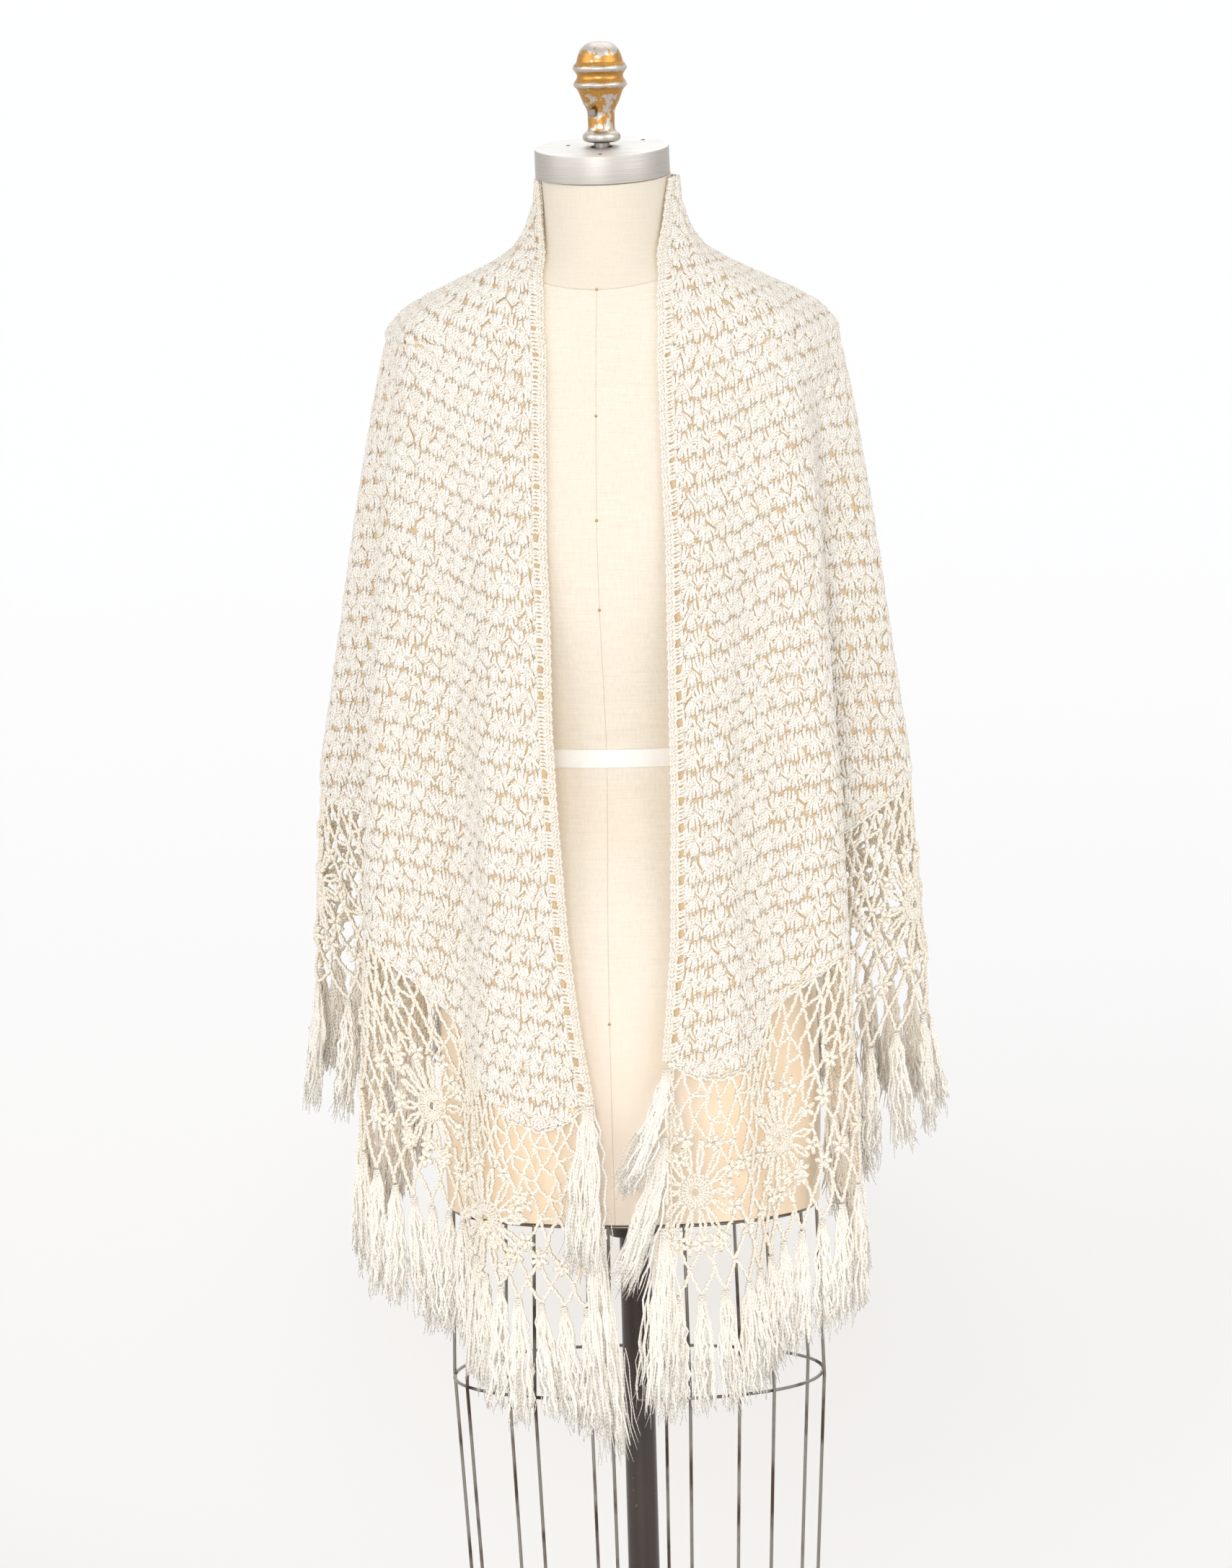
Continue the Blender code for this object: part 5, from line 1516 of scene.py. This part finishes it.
join(floor_white, mix_colours(floor_white, shade_middle.outputs["Fac"], floor_with_painted_shade, srgb(233, 227, 220)),
     floor_shader.inputs["Base Color"])
floor_bm = bmesh.new()
bmesh.ops.create_grid(floor_bm, x_segments=1, y_segments=1, size=90)
floor_mesh = bpy.data.meshes.new("floor")
floor_bm.to_mesh(floor_mesh)
floor_bm.free()
floor_mesh.materials.append(floor_white)
floor = bpy.data.objects.new("floor", floor_mesh)
bpy.context.scene.collection.objects.link(floor)

LIGHTS = (
    # name, strength, angle it spans, turn from the front, rise
    ("key", 1.32, 22, -3, 12),
    ("left", 1.06, 50, -58, 18),
    ("right", 1.28, 50, 61, 18),
    ("top", 0.80, 60, 175, 66),
    ("back", 0.30, 70, 178, 36),
)
for name, strength, spans, turn, rise in LIGHTS:
    lamp = bpy.data.lights.new(name, "SUN")
    lamp.energy = strength
    lamp.angle = math.radians(spans)
    holder = bpy.data.objects.new(name, lamp)
    bpy.context.scene.collection.objects.link(holder)
    turn, rise = math.radians(turn), math.radians(rise)
    source = Vector((math.sin(turn) * math.cos(rise), -math.cos(turn) * math.cos(rise), math.sin(rise)))
    holder.matrix_world = (-source).to_track_quat("-Z", "Y").to_matrix().to_4x4()

world = bpy.data.worlds.new("studio")
world.use_nodes = True
world.node_tree.nodes["Background"].inputs["Color"].default_value = (0.95, 0.955, 0.96, 1.0)
world_nodes = world.node_tree.nodes
brighter = world_nodes.new("ShaderNodeMath")
brighter.operation = "MULTIPLY_ADD"
brighter.inputs[1].default_value = 0.58
brighter.inputs[2].default_value = 0.43
seen = world_nodes.new("ShaderNodeMath")
seen.operation = "MAXIMUM"
light_path = world_nodes.new("ShaderNodeLightPath")
world.node_tree.links.new(light_path.outputs["Is Camera Ray"], seen.inputs[0])
world.node_tree.links.new(light_path.outputs["Is Glossy Ray"], seen.inputs[1])
world.node_tree.links.new(seen.outputs[0], brighter.inputs[0])
world.node_tree.links.new(brighter.outputs[0], world_nodes["Background"].inputs["Strength"])
bpy.context.scene.world = world
bpy.context.scene.view_settings.view_transform = "Standard"
bpy.context.scene.view_settings.look = "None"
